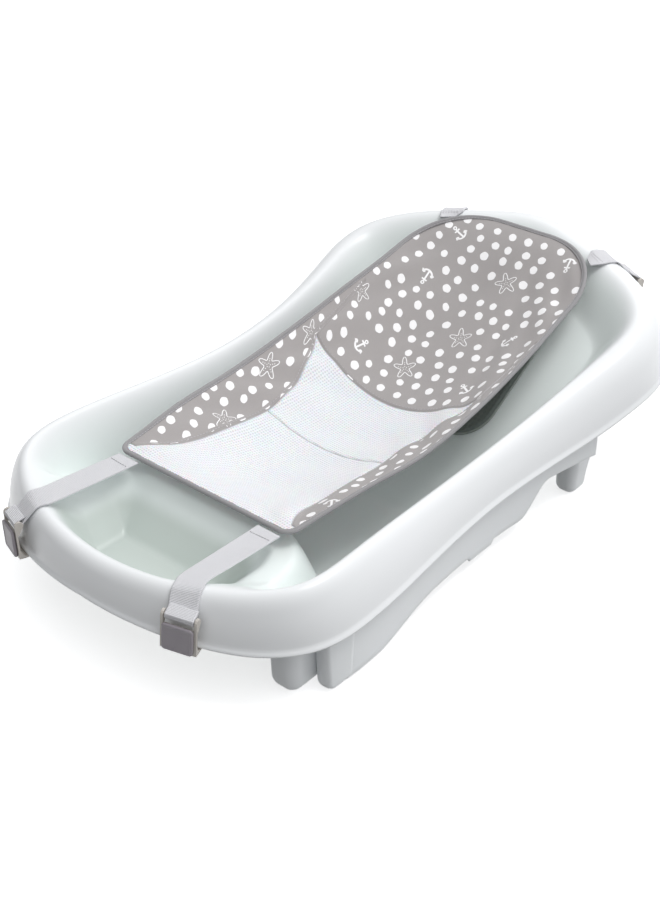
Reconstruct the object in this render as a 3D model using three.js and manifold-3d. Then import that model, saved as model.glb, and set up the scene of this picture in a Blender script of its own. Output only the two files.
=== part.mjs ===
// Baby bathtub with a fabric sling.
// A moulded tub stands on four legs. A hammock of printed fabric and knitted mesh hangs inside it on a
// wire hoop, and four webbing straps hold the hoop's corners over the rolled rim.
// Millimetres, +Z up. X runs from the foot end (-X) to the head end (+X). The right side is -Y.
// The origin is under the middle of the tub, on the floor that it stands on.

import * as THREE from 'three';
import { mergeVertices } from 'three/addons/utils/BufferGeometryUtils.js';
import Module from 'manifold-3d';

const wasm = await Module();
wasm.setup();

// ---------------------------------------------------------------------------------------------
// Driving dimensions
// ---------------------------------------------------------------------------------------------

const wall = 3;                 // moulded wall
const gap = 0.4;                // air between pieces that touch
const stations = 76;            // sections round the rim, an even number
const footDensity = 0.45;       // how much closer the sections stand at the foot end

// The rim's crest, from the foot's middle round the right side to the head's middle.
// These are the control points of a closed cubic B-spline: x, distance from the centre line, height.
const crestControl = [
  [-353, 0, 103], [-334, 96, 106], [-299, 158, 111], [-262, 182, 115], [-201, 179, 117],
  [-114, 173, 112], [-11, 168, 109], [92, 171, 120], [177, 181, 142], [243, 192, 163],
  [288, 145, 179], [313, 63, 192], [333, 0, 200],
];
// The rolled rim's reach outside the crest, and its drop to the lower edge, spread evenly foot to head.
const rimReach = [18, 20, 22, 20, 32, 37, 39];
const rimDrop = [34, 52, 57, 45, 56, 57, 55];

const basinWall = 44;           // plan width of the inner wall, crest to floor
const mainFloor = 14;           // height of the main well's floor
const backStart = 62;           // where the back slope leaves the floor
const backSlope = 0.61;         // rise over run of the back slope
const wellFloor = 44;           // height of the foot well's floor
const wellHalfWidth = 111;
const wellEnd = -213;           // the foot well's wall on the ridge
const wellStart = -380;         // beyond the foot end, so the tub's own wall closes the well
const wellCorner = 45;
const wellFlank = 50;           // plan width of the well's wall
const wellRounding = 0.16;      // share of that width that is rounded at each edge
const ridgeTop = 88;
const ridgeWidth = 16;
const ridgeFlank = 44;
const seatBump = 5;             // low band across the main floor
const seatBumpX = -28;

const skirtInset = 4;           // side skirt, inside the rim's lower edge
const skirtSpan = [0.09, 0.42]; // the part of the rim that it follows, foot to head
const skirtSections = 66;
const skirtFrom = -242;
const skirtTo = 150;
const skirtLow = 18;            // height of the skirt's lower edge along the middle
const skirtFoot = [-225, -105]; // where it drops to the floor beside the front legs
const skirtTab = [-49, -5];     // a small tab in the lower edge
const skirtTabDrop = 5;
const skirtStep = [36, 80];     // where it steps up towards the rear leg
const skirtStepRise = 32;
const legs = [                  // centre, size along and across, corner radius
  { x: -263.5, y: 160.5, sizeX: 51, sizeY: 32, round: 12 },
  { x: -247, y: 187.5, sizeX: 34, sizeY: 21, round: 9 },
  { x: 144, y: 179, sizeX: 30, sizeY: 24, round: 9 },
];
const legOuterWall = 9;
const legBevel = 5;
const drainX = -105;            // drain hole in the main floor
const drainRadius = 15;
const drainBoss = 8;            // width of the thick ring round the hole
const plugBrim = 6;             // the plug's reach beyond the hole
const plugKnob = 6;             // radius of its knob

const padFrom = 98;             // back pad on the back slope
const padTo = 262;
const padHalfWidth = 86;
const padCorner = 34;
const padLift = 1;              // air under it, measured upwards
const padRise = 3.4;            // its thickness, as a rise and a shift towards the foot
const padShift = 2;

const slingFoot = -219;         // foot edge of the sling's hoop
const slingHead = 304;          // head edge of the hoop
const slingWidths = [110, 119, 126, 126, 123, 117, 115];    // half widths, spread evenly foot to head
const slingHeights = [104, 110, 111, 123, 142, 164, 191];   // hoop heights, the same way
const slingSags = [0, 40, 46, 52, 44, 24, 0];               // fabric's drop under the hoop's height
const footCorner = 12;          // rounding of the hoop's corners
const headCorner = 84;
const wireRadius = 2.5;
const bindingRadius = 4.6;
const bindingHollow = 3.1;
const bindingMouth = 0.5;       // half angle of the binding's open side
const panelInset = 5.4;         // panels stop this far inside the hoop's centre line
const fabric = 1.8;             // thickness of the panels

const meshTop = 55;             // where the mesh meets the back panel, on the centre line
const meshTopBow = 15;          // how much farther up that seam ends at the sides
const meshSeam = -46;           // seam between the two mesh pieces
const meshWaist = 77;           // the mesh's half width at its narrowest, on that seam
const meshFootSpread = 13;      // what it widens by at the foot and at the top
const meshTopSpread = 30;
const meshCornerSpread = 12;    // what it widens by again, close to the hoop's foot corners
const meshCornerRun = 45;
const wingFoot = -207;          // where the wings start, beside the mesh
const wingTop = 157;            // where the wing's seam meets the hoop
const bowEnd = 200;             // where the rows are straight again
const seam = 0.5;               // air between panels

const strapWidth = 27;
const strapThickness = 1.5;
const strapAir = 1;             // air under a strap on the curved rim
const strapHem = 0.5;           // where the hem ends, from the rim (0) to the bar (1)
const footStrapY = 91;          // the foot straps' distance from the centre line at the hoop
const footStrapInboard = 10;    // where each strap meets the rim, inside the crest
const headStrapInboard = 4;
const headStrapTaper = 10;      // how much narrower the head straps are at the hoop

const barRadius = 2;
const barHeight = 29;           // bar's height above the rim's lower edge
const barOut = 5.2;             // bar's distance outside the rim's lower edge
const earRadius = 4.2;
const earWidth = 2.4;
const hookPlate = 2;            // thickness of the hook's back plate
const hookBack = 2.2;           // back plate's distance outside the bar's centre
const hookTop = 7;              // ends of the back plate below the bar
const hookFoot = 25;
const ledgeReach = 12.5;        // how far the ledge reaches inside the bar
const ledgeThickness = 2.4;
const ledgeAir = 1.2;           // what keeps it clear of the rim's edge as it swings
const clipWidth = 29;
const clipTop = 5;              // ends of the grey plate below the bar
const clipFoot = 32.5;
const clipDepth = 3;

// ---------------------------------------------------------------------------------------------
// Helpers
// ---------------------------------------------------------------------------------------------

const clamp = THREE.MathUtils.clamp;
const smooth = (low, high, value) => THREE.MathUtils.smoothstep(value, low, high);

// A straight rise from 0 to 1, rounded over a share of its run at each end.
function ramp(low, high, value, rounding) {
  const f = clamp((value - low) / (high - low), 0, 1);
  const steepness = 1 / (1 - rounding);
  if (f < rounding) {
    return steepness * f * f / (2 * rounding);
  }
  if (f > 1 - rounding) {
    return 1 - steepness * (1 - f) ** 2 / (2 * rounding);
  }
  return steepness * (f - rounding / 2);
}

// A value read from a row of evenly spread numbers, t from 0 to 1, eased between them.
function spread(row, t) {
  const place = clamp(t, 0, 1) * (row.length - 1);
  const index = Math.min(Math.floor(place), row.length - 2);
  const before = row[Math.max(index - 1, 0)];
  const after = row[Math.min(index + 2, row.length - 1)];
  const f = place - index;
  const startSlope = (row[index + 1] - before) / 2;
  const endSlope = (after - row[index]) / 2;
  const rise = row[index + 1] - row[index];
  const cubic = startSlope + endSlope - 2 * rise;
  const square = 3 * rise - 2 * startSlope - endSlope;
  return row[index] + f * (startSlope + f * (square + f * cubic));
}

// Evenly spread values from one number to another, both ends included.
function evenly(from, to, steps) {
  return Array.from({ length: steps + 1 }, (unused, i) => from + (to - from) * i / steps);
}

// How far a rounded corner cuts in from the side, at a distance from the end.
function cornerCut(fromEnd, radius) {
  const run = clamp(radius - fromEnd, 0, radius);
  return radius - Math.sqrt(radius ** 2 - run ** 2);
}

// A closed body from rings of equal length. The first and last rings join, or are capped when open.
// A fold is the place in the rings where both sides of the body meet, so no face is needed there.
function skin(rings, closed, fold = -1) {
  const size = rings[0].length;
  const positions = rings.flat().flatMap((point) => [point.x, point.y, point.z]);
  const index = [];
  const last = closed ? rings.length : rings.length - 1;
  for (let i = 0; i < last; i++) {
    const here = i * size;
    const next = ((i + 1) % rings.length) * size;
    for (let j = 0; j < size; j++) {
      const k = (j + 1) % size;
      if (j !== fold) {
        index.push(here + j, here + k, next + k, here + j, next + k, next + j);
      }
    }
  }
  if (!closed) {
    const end = (rings.length - 1) * size;
    const outline = (ring) => {
      const normal = new THREE.Vector3();
      ring.forEach((point, j) => normal.add(new THREE.Vector3().crossVectors(point, ring[(j + 1) % size])));
      const across = ring[1].clone().sub(ring[0]).normalize();
      const up = new THREE.Vector3().crossVectors(normal, across).normalize();
      return ring.map((point) => new THREE.Vector2(point.dot(across), point.dot(up)));
    };
    for (const [a, b, c] of THREE.ShapeUtils.triangulateShape(outline(rings[0]), [])) {
      index.push(a, c, b);
    }
    for (const [a, b, c] of THREE.ShapeUtils.triangulateShape(outline(rings[rings.length - 1]), [])) {
      index.push(end + a, end + b, end + c);
    }
  }
  const geometry = new THREE.BufferGeometry();
  geometry.setAttribute('position', new THREE.Float32BufferAttribute(positions, 3));
  geometry.setIndex(index);
  return outward(mergeVertices(geometry, 1e-3));
}

function volume(geometry) {
  const p = geometry.getAttribute('position');
  const index = geometry.getIndex();
  const a = new THREE.Vector3();
  const b = new THREE.Vector3();
  const c = new THREE.Vector3();
  let sum = 0;
  for (let i = 0; i < index.count; i += 3) {
    a.fromBufferAttribute(p, index.getX(i));
    b.fromBufferAttribute(p, index.getX(i + 1));
    c.fromBufferAttribute(p, index.getX(i + 2));
    sum += a.dot(b.cross(c)) / 6;
  }
  return sum;
}

// Turns a body's faces outwards, and drops faces that closed up.
function outward(geometry) {
  const index = Array.from(geometry.getIndex().array);
  const flip = volume(geometry) < 0;
  const kept = [];
  for (let i = 0; i < index.length; i += 3) {
    const [a, b, c] = index.slice(i, i + 3);
    if (a !== b && b !== c && a !== c) {
      kept.push(a, flip ? c : b, flip ? b : c);
    }
  }
  geometry.setIndex(kept);
  return geometry;
}

function toSolid(source) {
  const plain = source.clone();
  plain.deleteAttribute('normal');
  plain.deleteAttribute('uv');
  const merged = mergeVertices(plain, 1e-4);
  return new wasm.Manifold(new wasm.Mesh({
    numProp: 3,
    vertProperties: merged.getAttribute('position').array,
    triVerts: Uint32Array.from(merged.getIndex().array),
  }));
}

function toGeometry(solid) {
  const mesh = solid.getMesh();
  const geometry = new THREE.BufferGeometry();
  geometry.setAttribute('position', new THREE.BufferAttribute(mesh.vertProperties, 3));
  geometry.setIndex(new THREE.BufferAttribute(mesh.triVerts, 1));
  return geometry;
}

function roundedRectangle(sizeX, sizeY, round) {
  const x = sizeX / 2;
  const y = sizeY / 2;
  const shape = new THREE.Shape();
  shape.moveTo(-x + round, -y);
  shape.lineTo(x - round, -y);
  shape.absarc(x - round, -y + round, round, -Math.PI / 2, 0);
  shape.lineTo(x, y - round);
  shape.absarc(x - round, y - round, round, 0, Math.PI / 2);
  shape.lineTo(-x + round, y);
  shape.absarc(-x + round, y - round, round, Math.PI / 2, Math.PI);
  shape.lineTo(-x, -y + round);
  shape.absarc(-x + round, -y + round, round, Math.PI, Math.PI * 1.5);
  return shape;
}

// ---------------------------------------------------------------------------------------------
// The tub's surface
// ---------------------------------------------------------------------------------------------

// The whole crest: the right side, then the left side back to the foot.
const crestLoop = [
  ...crestControl.map(([x, y, z]) => new THREE.Vector3(x, -y, z)),
  ...crestControl.slice(1, -1).reverse().map(([x, y, z]) => new THREE.Vector3(x, y, z)),
];

// A point of the crest, t from 0 at the foot, over 0.5 at the head, to 1 at the foot again.
function crestPoint(t) {
  const count = crestLoop.length;
  const place = (t - Math.floor(t)) * count;
  const index = Math.floor(place);
  const f = place - index;
  const weights = [
    (1 - f) ** 3,
    3 * f ** 3 - 6 * f ** 2 + 4,
    -3 * f ** 3 + 3 * f ** 2 + 3 * f + 1,
    f ** 3,
  ];
  const point = new THREE.Vector3();
  weights.forEach((weight, k) => {
    point.addScaledVector(crestLoop[(index + k - 1 + count) % count], weight / 6);
  });
  return point;
}

// The crest's outward direction in plan.
function crestOutward(t) {
  const step = 0.004;
  const along = crestPoint(t + step).sub(crestPoint(t - step));
  return new THREE.Vector3(along.y, -along.x, 0).normalize();
}

// How far t is from the foot (0) to the head (1).
const footToHead = (t) => 1 - Math.abs(1 - 2 * (t - Math.floor(t)));
const reachAt = (t) => spread(rimReach, footToHead(t));
const dropAt = (t) => spread(rimDrop, footToHead(t));

// Signed distance from the foot well's outline, negative inside.
function wellDistance(x, y) {
  const halfLength = (wellEnd - wellStart) / 2;
  const dx = Math.abs(x - (wellEnd + wellStart) / 2) - halfLength + wellCorner;
  const dy = Math.abs(y) - wellHalfWidth + wellCorner;
  const outside = Math.hypot(Math.max(dx, 0), Math.max(dy, 0));
  return outside + Math.min(Math.max(dx, dy), 0) - wellCorner;
}

// Height of the tub's floor under any point: main well, back slope, ridge and foot well.
function floorHeight(x, y) {
  const run = (x - backStart) / 18;
  const slope = 18 * backSlope * Math.log1p(Math.exp(Math.min(run, 30))) * (run > 30 ? run / 30 : 1);
  const bump = seatBump * Math.exp(-(((x - seatBumpX) / 16) ** 2));
  const main = mainFloor + slope + bump;
  const r = wellDistance(x, y);
  const ridge = main + (ridgeTop - main) * (1 - smooth(ridgeWidth, ridgeWidth + ridgeFlank, r));
  return wellFloor + (ridge - wellFloor) * ramp(-wellFlank, 0, r, wellRounding);
}

// A point of the tub's inner surface, by its distance inside the crest and then towards the middle.
function insidePoint(t, inward, middle) {
  const crest = crestPoint(t);
  const outwards = crestOutward(t);
  const point = crest.clone().addScaledVector(outwards, -inward);
  point.lerp(new THREE.Vector3(crest.x * 0.72, 0, 0), middle);
  const floor = Math.min(floorHeight(point.x, point.y), crest.z - 2);
  point.z = crest.z - (crest.z - floor) * smooth(0, basinWall, inward);
  return point;
}

// A point of the rolled rim, turn from 0 at the crest to 1 at the lower edge.
function rimPoint(t, turn) {
  const angle = turn * Math.PI / 2;
  const point = crestPoint(t).addScaledVector(crestOutward(t), reachAt(t) * Math.sin(angle));
  point.z -= dropAt(t) * (1 - Math.cos(angle));
  return point;
}

const inwardSteps = [3, 8, 14, 20, 27, 35, basinWall];
const middleSteps = [0.14, 0.28, 0.42, 0.57, 0.72, 0.86, 1];
const rimSteps = [0, 0.16, 0.34, 0.52, 0.7, 0.86, 1];

// One section of the tub's upper surface, from the rim's lower edge to the middle.
function section(t) {
  return [
    ...rimSteps.map((turn) => rimPoint(t, turn)).reverse(),
    ...inwardSteps.map((inward) => insidePoint(t, inward, 0)),
    ...middleSteps.map((middle) => insidePoint(t, basinWall, middle)),
  ];
}

// Where the sections stand round the rim.
const places = Array.from({ length: stations }, (unused, i) => {
  const even = i / stations;
  return even - footDensity * Math.sin(2 * Math.PI * even) / (2 * Math.PI);
});

const sections = places.map(section);

// The same sections moved down through the wall by a distance, square to the surface.
function loweredSections(distance) {
  return sections.map((points, i) => {
    const before = sections[(i - 1 + stations) % stations];
    const after = sections[(i + 1) % stations];
    return points.map((point, j) => {
      const around = after[j].clone().sub(before[j]);
      const last = points.length - 1;
      const along = points[Math.min(j + 1, last)].clone().sub(points[Math.max(j - 1, 0)]);
      const normal = new THREE.Vector3().crossVectors(around, along).normalize();
      if (j === last) {
        normal.set(0, 0, 1);
      } else if (j === 0) {
        normal.copy(crestOutward(places[i]));
      }
      if (j > 0 && normal.z < 0) {
        normal.negate();
      }
      return point.clone().addScaledVector(normal, -distance);
    });
  });
}

// A closed body between two matching sets of sections. Right and left meet over the centre line.
function shellBetween(upper, lower) {
  const rings = upper.map((points, i) => [...points, ...lower[i].slice().reverse()]);
  return skin(rings, true, upper[0].length - 1);
}

// ---------------------------------------------------------------------------------------------
// Tub shell: wall, skirts, legs and drain
// ---------------------------------------------------------------------------------------------

// Everything above the middle of the wall, which trims the skirts and legs to the tub's underside.
function spaceAbove() {
  const middle = loweredSections(wall / 2);
  const top = middle.map((points) => points.map((point) => new THREE.Vector3(point.x, point.y, 400)));
  return toSolid(shellBetween(middle, top));
}

// Height of the skirt's lower edge at x.
function skirtEdge(x) {
  const tab = smooth(skirtTab[0], skirtTab[0] + 4, x) - smooth(skirtTab[1] - 5, skirtTab[1], x);
  return skirtLow * smooth(...skirtFoot, x) - skirtTabDrop * tab + skirtStepRise * smooth(...skirtStep, x);
}

// The side skirt: a strip under the rim, between two distances inside the rim's lower edge.
function skirt(side) {
  const rings = [];
  for (const t of evenly(...skirtSpan, skirtSections)) {
    const crest = crestPoint(t);
    const outwards = crestOutward(t);
    const ring = [[0, 0], [0, 1], [wall, 1], [wall, 0]].map(([inner, upper]) => {
      const point = crest.clone().addScaledVector(outwards, reachAt(t) - skirtInset - inner);
      point.y *= side;
      point.z = upper ? 150 : skirtEdge(crest.x);
      return point;
    });
    if (crest.x >= skirtFrom && crest.x <= skirtTo) {
      rings.push(ring);
    }
  }
  return toSolid(skin(rings, false));
}

// A leg: a block with a pocket that opens towards the middle of the tub.
function leg({ x, y, sizeX, sizeY, round }, side) {
  const corner = Math.max(round - legBevel, 3);
  const outline = roundedRectangle(sizeX - 2 * legBevel, sizeY - 2 * legBevel, corner);
  const block = new THREE.ExtrudeGeometry(outline, {
    depth: 200,
    bevelThickness: legBevel,
    bevelSize: legBevel,
    bevelSegments: 2,
    curveSegments: 4,
  });
  block.translate(x, side * y, legBevel);
  const pocket = new THREE.BoxGeometry(sizeX - 2 * wall, sizeY, 220);
  pocket.translate(x, side * (y - legOuterWall), 110 + wall);
  return toSolid(block).subtract(toSolid(pocket));
}

// The space inside the rim's lower edge, which keeps the legs under the rim.
function underRim() {
  const plan = (z) => places.map((t) => {
    const point = crestPoint(t).addScaledVector(crestOutward(t), reachAt(t) - skirtInset + 1);
    point.z = z;
    return point;
  });
  return toSolid(skin([plan(-1), plan(300)], false));
}

function tubShell() {
  const lowered = loweredSections(wall);
  let supports = skirt(-1).add(skirt(1));
  for (const side of [-1, 1]) {
    for (const each of legs) {
      supports = supports.add(leg(each, side));
    }
  }
  supports = supports.intersect(underRim());
  const bossFoot = 4;
  const bossHeight = mainFloor - bossFoot;
  const bossRadius = drainRadius + drainBoss;
  const boss = new THREE.CylinderGeometry(bossRadius, bossRadius - 3, bossHeight, 24);
  boss.rotateX(Math.PI / 2);
  boss.translate(drainX, 0, bossFoot + bossHeight / 2);
  const hole = new THREE.CylinderGeometry(drainRadius, drainRadius, 4 * mainFloor, 24);
  hole.rotateX(Math.PI / 2);
  hole.translate(drainX, 0, mainFloor);
  const trimmed = supports.add(toSolid(boss)).subtract(spaceAbove());
  const shell = toSolid(shellBetween(sections, lowered)).add(trimmed).subtract(toSolid(hole));
  return toGeometry(shell);
}

// The plug: a tapered stopper, a brim that lies on the floor and a knob to pull.
function drainPlug() {
  const foot = 3;
  const fit = drainRadius - gap;
  const brim = drainRadius + plugBrim;
  const brimFoot = mainFloor + gap + 1;
  const brimTop = mainFloor + 5;
  const knobTop = mainFloor + 14;
  const profile = [
    [0, foot], [fit - 2.6, foot], [fit - 0.6, foot + 4], [fit, brimFoot],
    [brim, brimFoot], [brim, brimTop - 1], [brim - 3, brimTop],
    [plugKnob, brimTop], [plugKnob, knobTop - 2], [plugKnob - 2, knobTop], [0, knobTop],
  ].map(([r, z]) => new THREE.Vector2(r, z));
  const geometry = new THREE.LatheGeometry(profile, 24);
  geometry.rotateX(Math.PI / 2);
  geometry.translate(drainX, 0, 0);
  geometry.deleteAttribute('normal');
  geometry.deleteAttribute('uv');
  return outward(mergeVertices(geometry, 1e-3));
}

// ---------------------------------------------------------------------------------------------
// Back pad
// ---------------------------------------------------------------------------------------------

function backPad() {
  const rows = 14;
  const columns = 10;
  const rings = evenly(padFrom, padTo, rows).map((x) => {
    const width = padHalfWidth - cornerCut(Math.min(x - padFrom, padTo - x), padCorner);
    const under = evenly(-width, width, columns)
      .map((y) => new THREE.Vector3(x, y, floorHeight(x, y) + padLift));
    const over = under.map((point) => point.clone().add(new THREE.Vector3(-padShift, 0, padRise)));
    return [...under, ...over.reverse()];
  });
  return skin(rings, false);
}

// ---------------------------------------------------------------------------------------------
// Sling
// ---------------------------------------------------------------------------------------------

const slingT = (x) => (x - slingFoot) / (slingHead - slingFoot);
const slingHeight = (x) => spread(slingHeights, slingT(x));
const slingSide = (x) => spread(slingWidths, slingT(x));

// Half width inside the hoop at x, a distance inside its centre line.
function halfWidthInside(x, inset) {
  const foot = cornerCut(x - slingFoot - inset, footCorner - inset);
  const head = cornerCut(slingHead - inset - x, headCorner - inset);
  return slingSide(x) - inset - foot - head;
}

// The hammock: the fabric's middle surface.
function hammock(x, y) {
  const across = Math.min(Math.abs(y) / slingSide(x), 1);
  const drop = spread(slingSags, slingT(x)) * (1 - across ** 2);
  return new THREE.Vector3(x, y, slingHeight(x) - drop);
}

// The hoop's centre line: foot edge, right side, head edge, left side.
function hoopLine() {
  const arcSteps = 5;
  const sideSteps = 14;
  const side = [];
  const add = (x, cut) => side.push(new THREE.Vector3(x, cut - slingSide(x), slingHeight(x)));
  add(slingFoot, slingSide(slingFoot));
  add(slingFoot, slingSide(slingFoot) / 2);
  for (let i = 0; i <= arcSteps; i++) {
    const angle = Math.PI / 2 * i / arcSteps;
    add(slingFoot + footCorner * (1 - Math.cos(angle)), footCorner * (1 - Math.sin(angle)));
  }
  const straight = slingHead - headCorner - slingFoot - footCorner;
  for (let i = 1; i < sideSteps; i++) {
    add(slingFoot + footCorner + straight * i / sideSteps, 0);
  }
  for (let i = 0; i <= arcSteps; i++) {
    const angle = Math.PI / 2 * i / arcSteps;
    add(slingHead - headCorner * (1 - Math.sin(angle)), headCorner * (1 - Math.cos(angle)));
  }
  add(slingHead, (slingSide(slingHead) + headCorner) / 2);
  add(slingHead, slingSide(slingHead));
  const other = side.slice(1, -1).reverse().map((point) => new THREE.Vector3(point.x, -point.y, point.z));
  return [...side, ...other];
}

const hoop = hoopLine();

// Sweeps a profile round the hoop. The profile's first axis points out of the hoop, its second up.
function aroundHoop(profile) {
  return skin(hoop.map((point, i) => {
    const before = hoop[(i - 1 + hoop.length) % hoop.length];
    const after = hoop[(i + 1) % hoop.length];
    const along = after.clone().sub(before).normalize();
    const out = new THREE.Vector3(along.y, -along.x, 0).normalize();
    const up = new THREE.Vector3().crossVectors(out, along).normalize();
    if (up.z < 0) {
      up.negate();
    }
    return profile.map(([a, b]) => point.clone().addScaledVector(out, a).addScaledVector(up, b));
  }), true);
}

function slingFrame() {
  const sides = 6;
  return aroundHoop(Array.from({ length: sides }, (unused, i) => {
    const angle = 2 * Math.PI * i / sides;
    return [wireRadius * Math.cos(angle), wireRadius * Math.sin(angle)];
  }));
}

// The binding is folded round the wire and open on its inner side, where the panels come in.
function edgeBinding() {
  const steps = 7;
  const arc = (radius, i, mouth) => {
    const angle = Math.PI + mouth + (2 * Math.PI - 2 * mouth) * i / steps;
    return [radius * Math.cos(angle), radius * Math.sin(angle)];
  };
  const profile = [];
  for (let i = 0; i <= steps; i++) {
    profile.push(arc(bindingRadius, i, bindingMouth));
  }
  for (let i = steps; i >= 0; i--) {
    profile.push(arc(bindingHollow, i, bindingMouth));
  }
  return aroundHoop(profile);
}

// The panels' rows bow towards the head at the sides, most of all along the seam above the mesh.
function rowBow(x, y) {
  const near = smooth(meshSeam, meshTop, x) * (1 - smooth(meshTop, bowEnd, x));
  return meshTopBow * near * (y / slingSide(meshTop)) ** 2;
}

// A fabric panel on the hammock, with rows at the given x, between two edges given as y at x.
function panel(rows, columns, lowEdge, highEdge) {
  return skin(rows.map((x) => {
    const under = evenly(lowEdge(x), highEdge(x), columns).map((y) => hammock(x + rowBow(x, y), y));
    under.forEach((point) => point.setZ(point.z - fabric / 2));
    const over = under.map((point) => point.clone().setZ(point.z + fabric)).reverse();
    return [...under, ...over];
  }), false);
}

// The mesh's half width: narrow at the waist, wider towards the foot and the back panel.
function meshSide(x) {
  if (x > meshSeam) {
    return meshWaist + meshTopSpread * ((x - meshSeam) / (meshTop - meshSeam)) ** 2;
  }
  const toFoot = (meshSeam - x) / (meshSeam - wingFoot);
  const toCorner = clamp(1 - (x - wingFoot) / meshCornerRun, 0, 1);
  return meshWaist + meshFootSpread * toFoot ** 2 + meshCornerSpread * toCorner ** 2;
}

// The wing's inner edge: along the mesh, then slanting out to the hoop beside the back panel.
function wingInner(x) {
  if (x <= meshTop) {
    return meshSide(x);
  }
  const part = (x - meshTop) / (wingTop - meshTop);
  return meshSide(meshTop) + (halfWidthInside(wingTop, panelInset) - 1.5 - meshSide(meshTop)) * part;
}

const panelEdge = (x) => halfWidthInside(x, panelInset);
const mirrored = (edge) => (x) => -edge(x);

// Rows across the sling, shared by the panels that meet along them.
const legRows = evenly(wingFoot, meshSeam - seam, 8);
const seatRows = evenly(meshSeam, meshTop - seam, 6);
const backRows = evenly(meshTop, wingTop - 3 * seam, 6);

function wing(side) {
  const inner = (x) => side * (wingInner(x) + seam / 2);
  const outer = (x) => side * panelEdge(x);
  return panel([...legRows, ...seatRows, ...backRows], 3, inner, outer);
}

function legMesh() {
  const edge = (x) => (x < wingFoot ? panelEdge(x) : meshSide(x) - seam / 2);
  const foot = evenly(slingFoot + panelInset, wingFoot - seam, 2);
  return panel([...foot, ...legRows], 8, mirrored(edge), edge);
}

function seatMesh() {
  const edge = (x) => meshSide(x) - seam / 2;
  return panel(seatRows, 8, mirrored(edge), edge);
}

function backPanel() {
  const edge = (x) => (x < wingTop ? wingInner(x) - seam / 2 : panelEdge(x));
  const wide = evenly(wingTop + seam, slingHead - panelInset, 11);
  return panel([...backRows, ...wide], 10, mirrored(edge), edge);
}

// ---------------------------------------------------------------------------------------------
// Straps and clips
// ---------------------------------------------------------------------------------------------

// Where a clip sits: the place on the crest at a distance from the centre line, searched between
// two values of t on the right side.
function clipPlace(distance, from, to) {
  let low = from;
  let high = to;
  for (let i = 0; i < 30; i++) {
    const middle = (low + high) / 2;
    const beyond = -crestPoint(middle).y > distance;
    if (beyond === (crestPoint(high).y < crestPoint(low).y)) {
      high = middle;
    } else {
      low = middle;
    }
  }
  return (low + high) / 2;
}

const footClip = clipPlace(98, 0, 0.15);
const headClip = clipPlace(100, 0.4, 0.5);

// The frame that a clip works in: its origin on the rim's lower edge, out from the rim, along the
// edge, and square to both.
function clipFrame(t) {
  const step = 0.01;
  const along = rimPoint(t + step, 1).sub(rimPoint(t - step, 1)).normalize();
  const out = crestOutward(t);
  out.addScaledVector(along, -out.dot(along)).normalize();
  const up = new THREE.Vector3().crossVectors(out, along);
  if (up.z < 0) {
    up.negate();
  }
  return { origin: rimPoint(t, 1), out, along, up };
}

function inFrame(frame, outwards, upwards) {
  return frame.origin.clone().addScaledVector(frame.out, outwards).addScaledVector(frame.up, upwards);
}

// A point above the rim's surface, turn from 0 at the crest to 1 at the lower edge.
function overRim(t, turn, lift) {
  const angle = turn * Math.PI / 2;
  const away = new THREE.Vector2(Math.sin(angle) / reachAt(t), Math.cos(angle) / dropAt(t)).normalize();
  return rimPoint(t, turn)
    .addScaledVector(crestOutward(t), lift * away.x)
    .add(new THREE.Vector3(0, 0, lift * away.y));
}

// The strap round the clip's bar: under it, up its outer side and back to the hem.
function strapLoop(frame, start) {
  const flat = new THREE.Vector2(start.clone().sub(frame.origin).dot(frame.out),
    start.clone().sub(frame.origin).dot(frame.up));
  const bar = new THREE.Vector2(barOut, barHeight);
  const along = bar.clone().sub(flat).normalize();
  const above = new THREE.Vector2(-along.y, along.x);
  const radius = barRadius + gap + strapThickness / 2;
  const path = [];
  for (let i = 0; i <= 6; i++) {
    const angle = Math.PI * (-0.5 + i / 6);
    path.push(bar.clone()
      .addScaledVector(along, radius * Math.cos(angle))
      .addScaledVector(above, radius * Math.sin(angle)));
  }
  const hem = flat.clone().lerp(path[0], strapHem).addScaledVector(above, strapThickness + 2 * gap);
  return [...path, hem].map((point) => inFrame(frame, point.x, point.y));
}

// A ribbon of webbing through stations, each with its centre, width direction and half width.
function ribbon(steps) {
  return skin(steps.map(({ centre, across, half }, i) => {
    const before = steps[Math.max(i - 1, 0)].centre;
    const after = steps[Math.min(i + 1, steps.length - 1)].centre;
    const along = after.clone().sub(before).normalize();
    const face = new THREE.Vector3().crossVectors(along, across).normalize();
    return [[-1, -1], [1, -1], [1, 1], [-1, 1]].map(([a, b]) => centre.clone()
      .addScaledVector(across, a * half)
      .addScaledVector(face, b * strapThickness / 2));
  }), false);
}

// A strap from a point beside the hoop, over the crest, to its loop round the clip's bar.
function strap(t, from, fromAcross, fromHalf, inboard) {
  const frame = clipFrame(t);
  const half = strapWidth / 2;
  const lift = strapThickness / 2 + strapAir;
  const crestAlong = crestPoint(t + 0.01).sub(crestPoint(t - 0.01)).normalize();
  const over = overRim(t, 0, lift).addScaledVector(crestOutward(t), -inboard);
  const turned = fromAcross.dot(crestAlong) < 0 ? fromAcross.clone().negate() : fromAcross;
  const steps = [0, 0.35, 0.7, 1].map((part) => ({
    centre: from.clone().lerp(over, part),
    across: turned.clone().lerp(crestAlong, part).normalize(),
    half: fromHalf + (half - fromHalf) * part,
  }));
  for (const turn of [0, 0.14, 0.28]) {
    const across = crestAlong.clone().lerp(frame.along, turn * 2).normalize();
    steps.push({ centre: overRim(t, turn, lift), across, half });
  }
  const last = steps[steps.length - 1].centre;
  for (const centre of strapLoop(frame, last)) {
    steps.push({ centre, across: frame.along, half });
  }
  return ribbon(steps);
}

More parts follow.
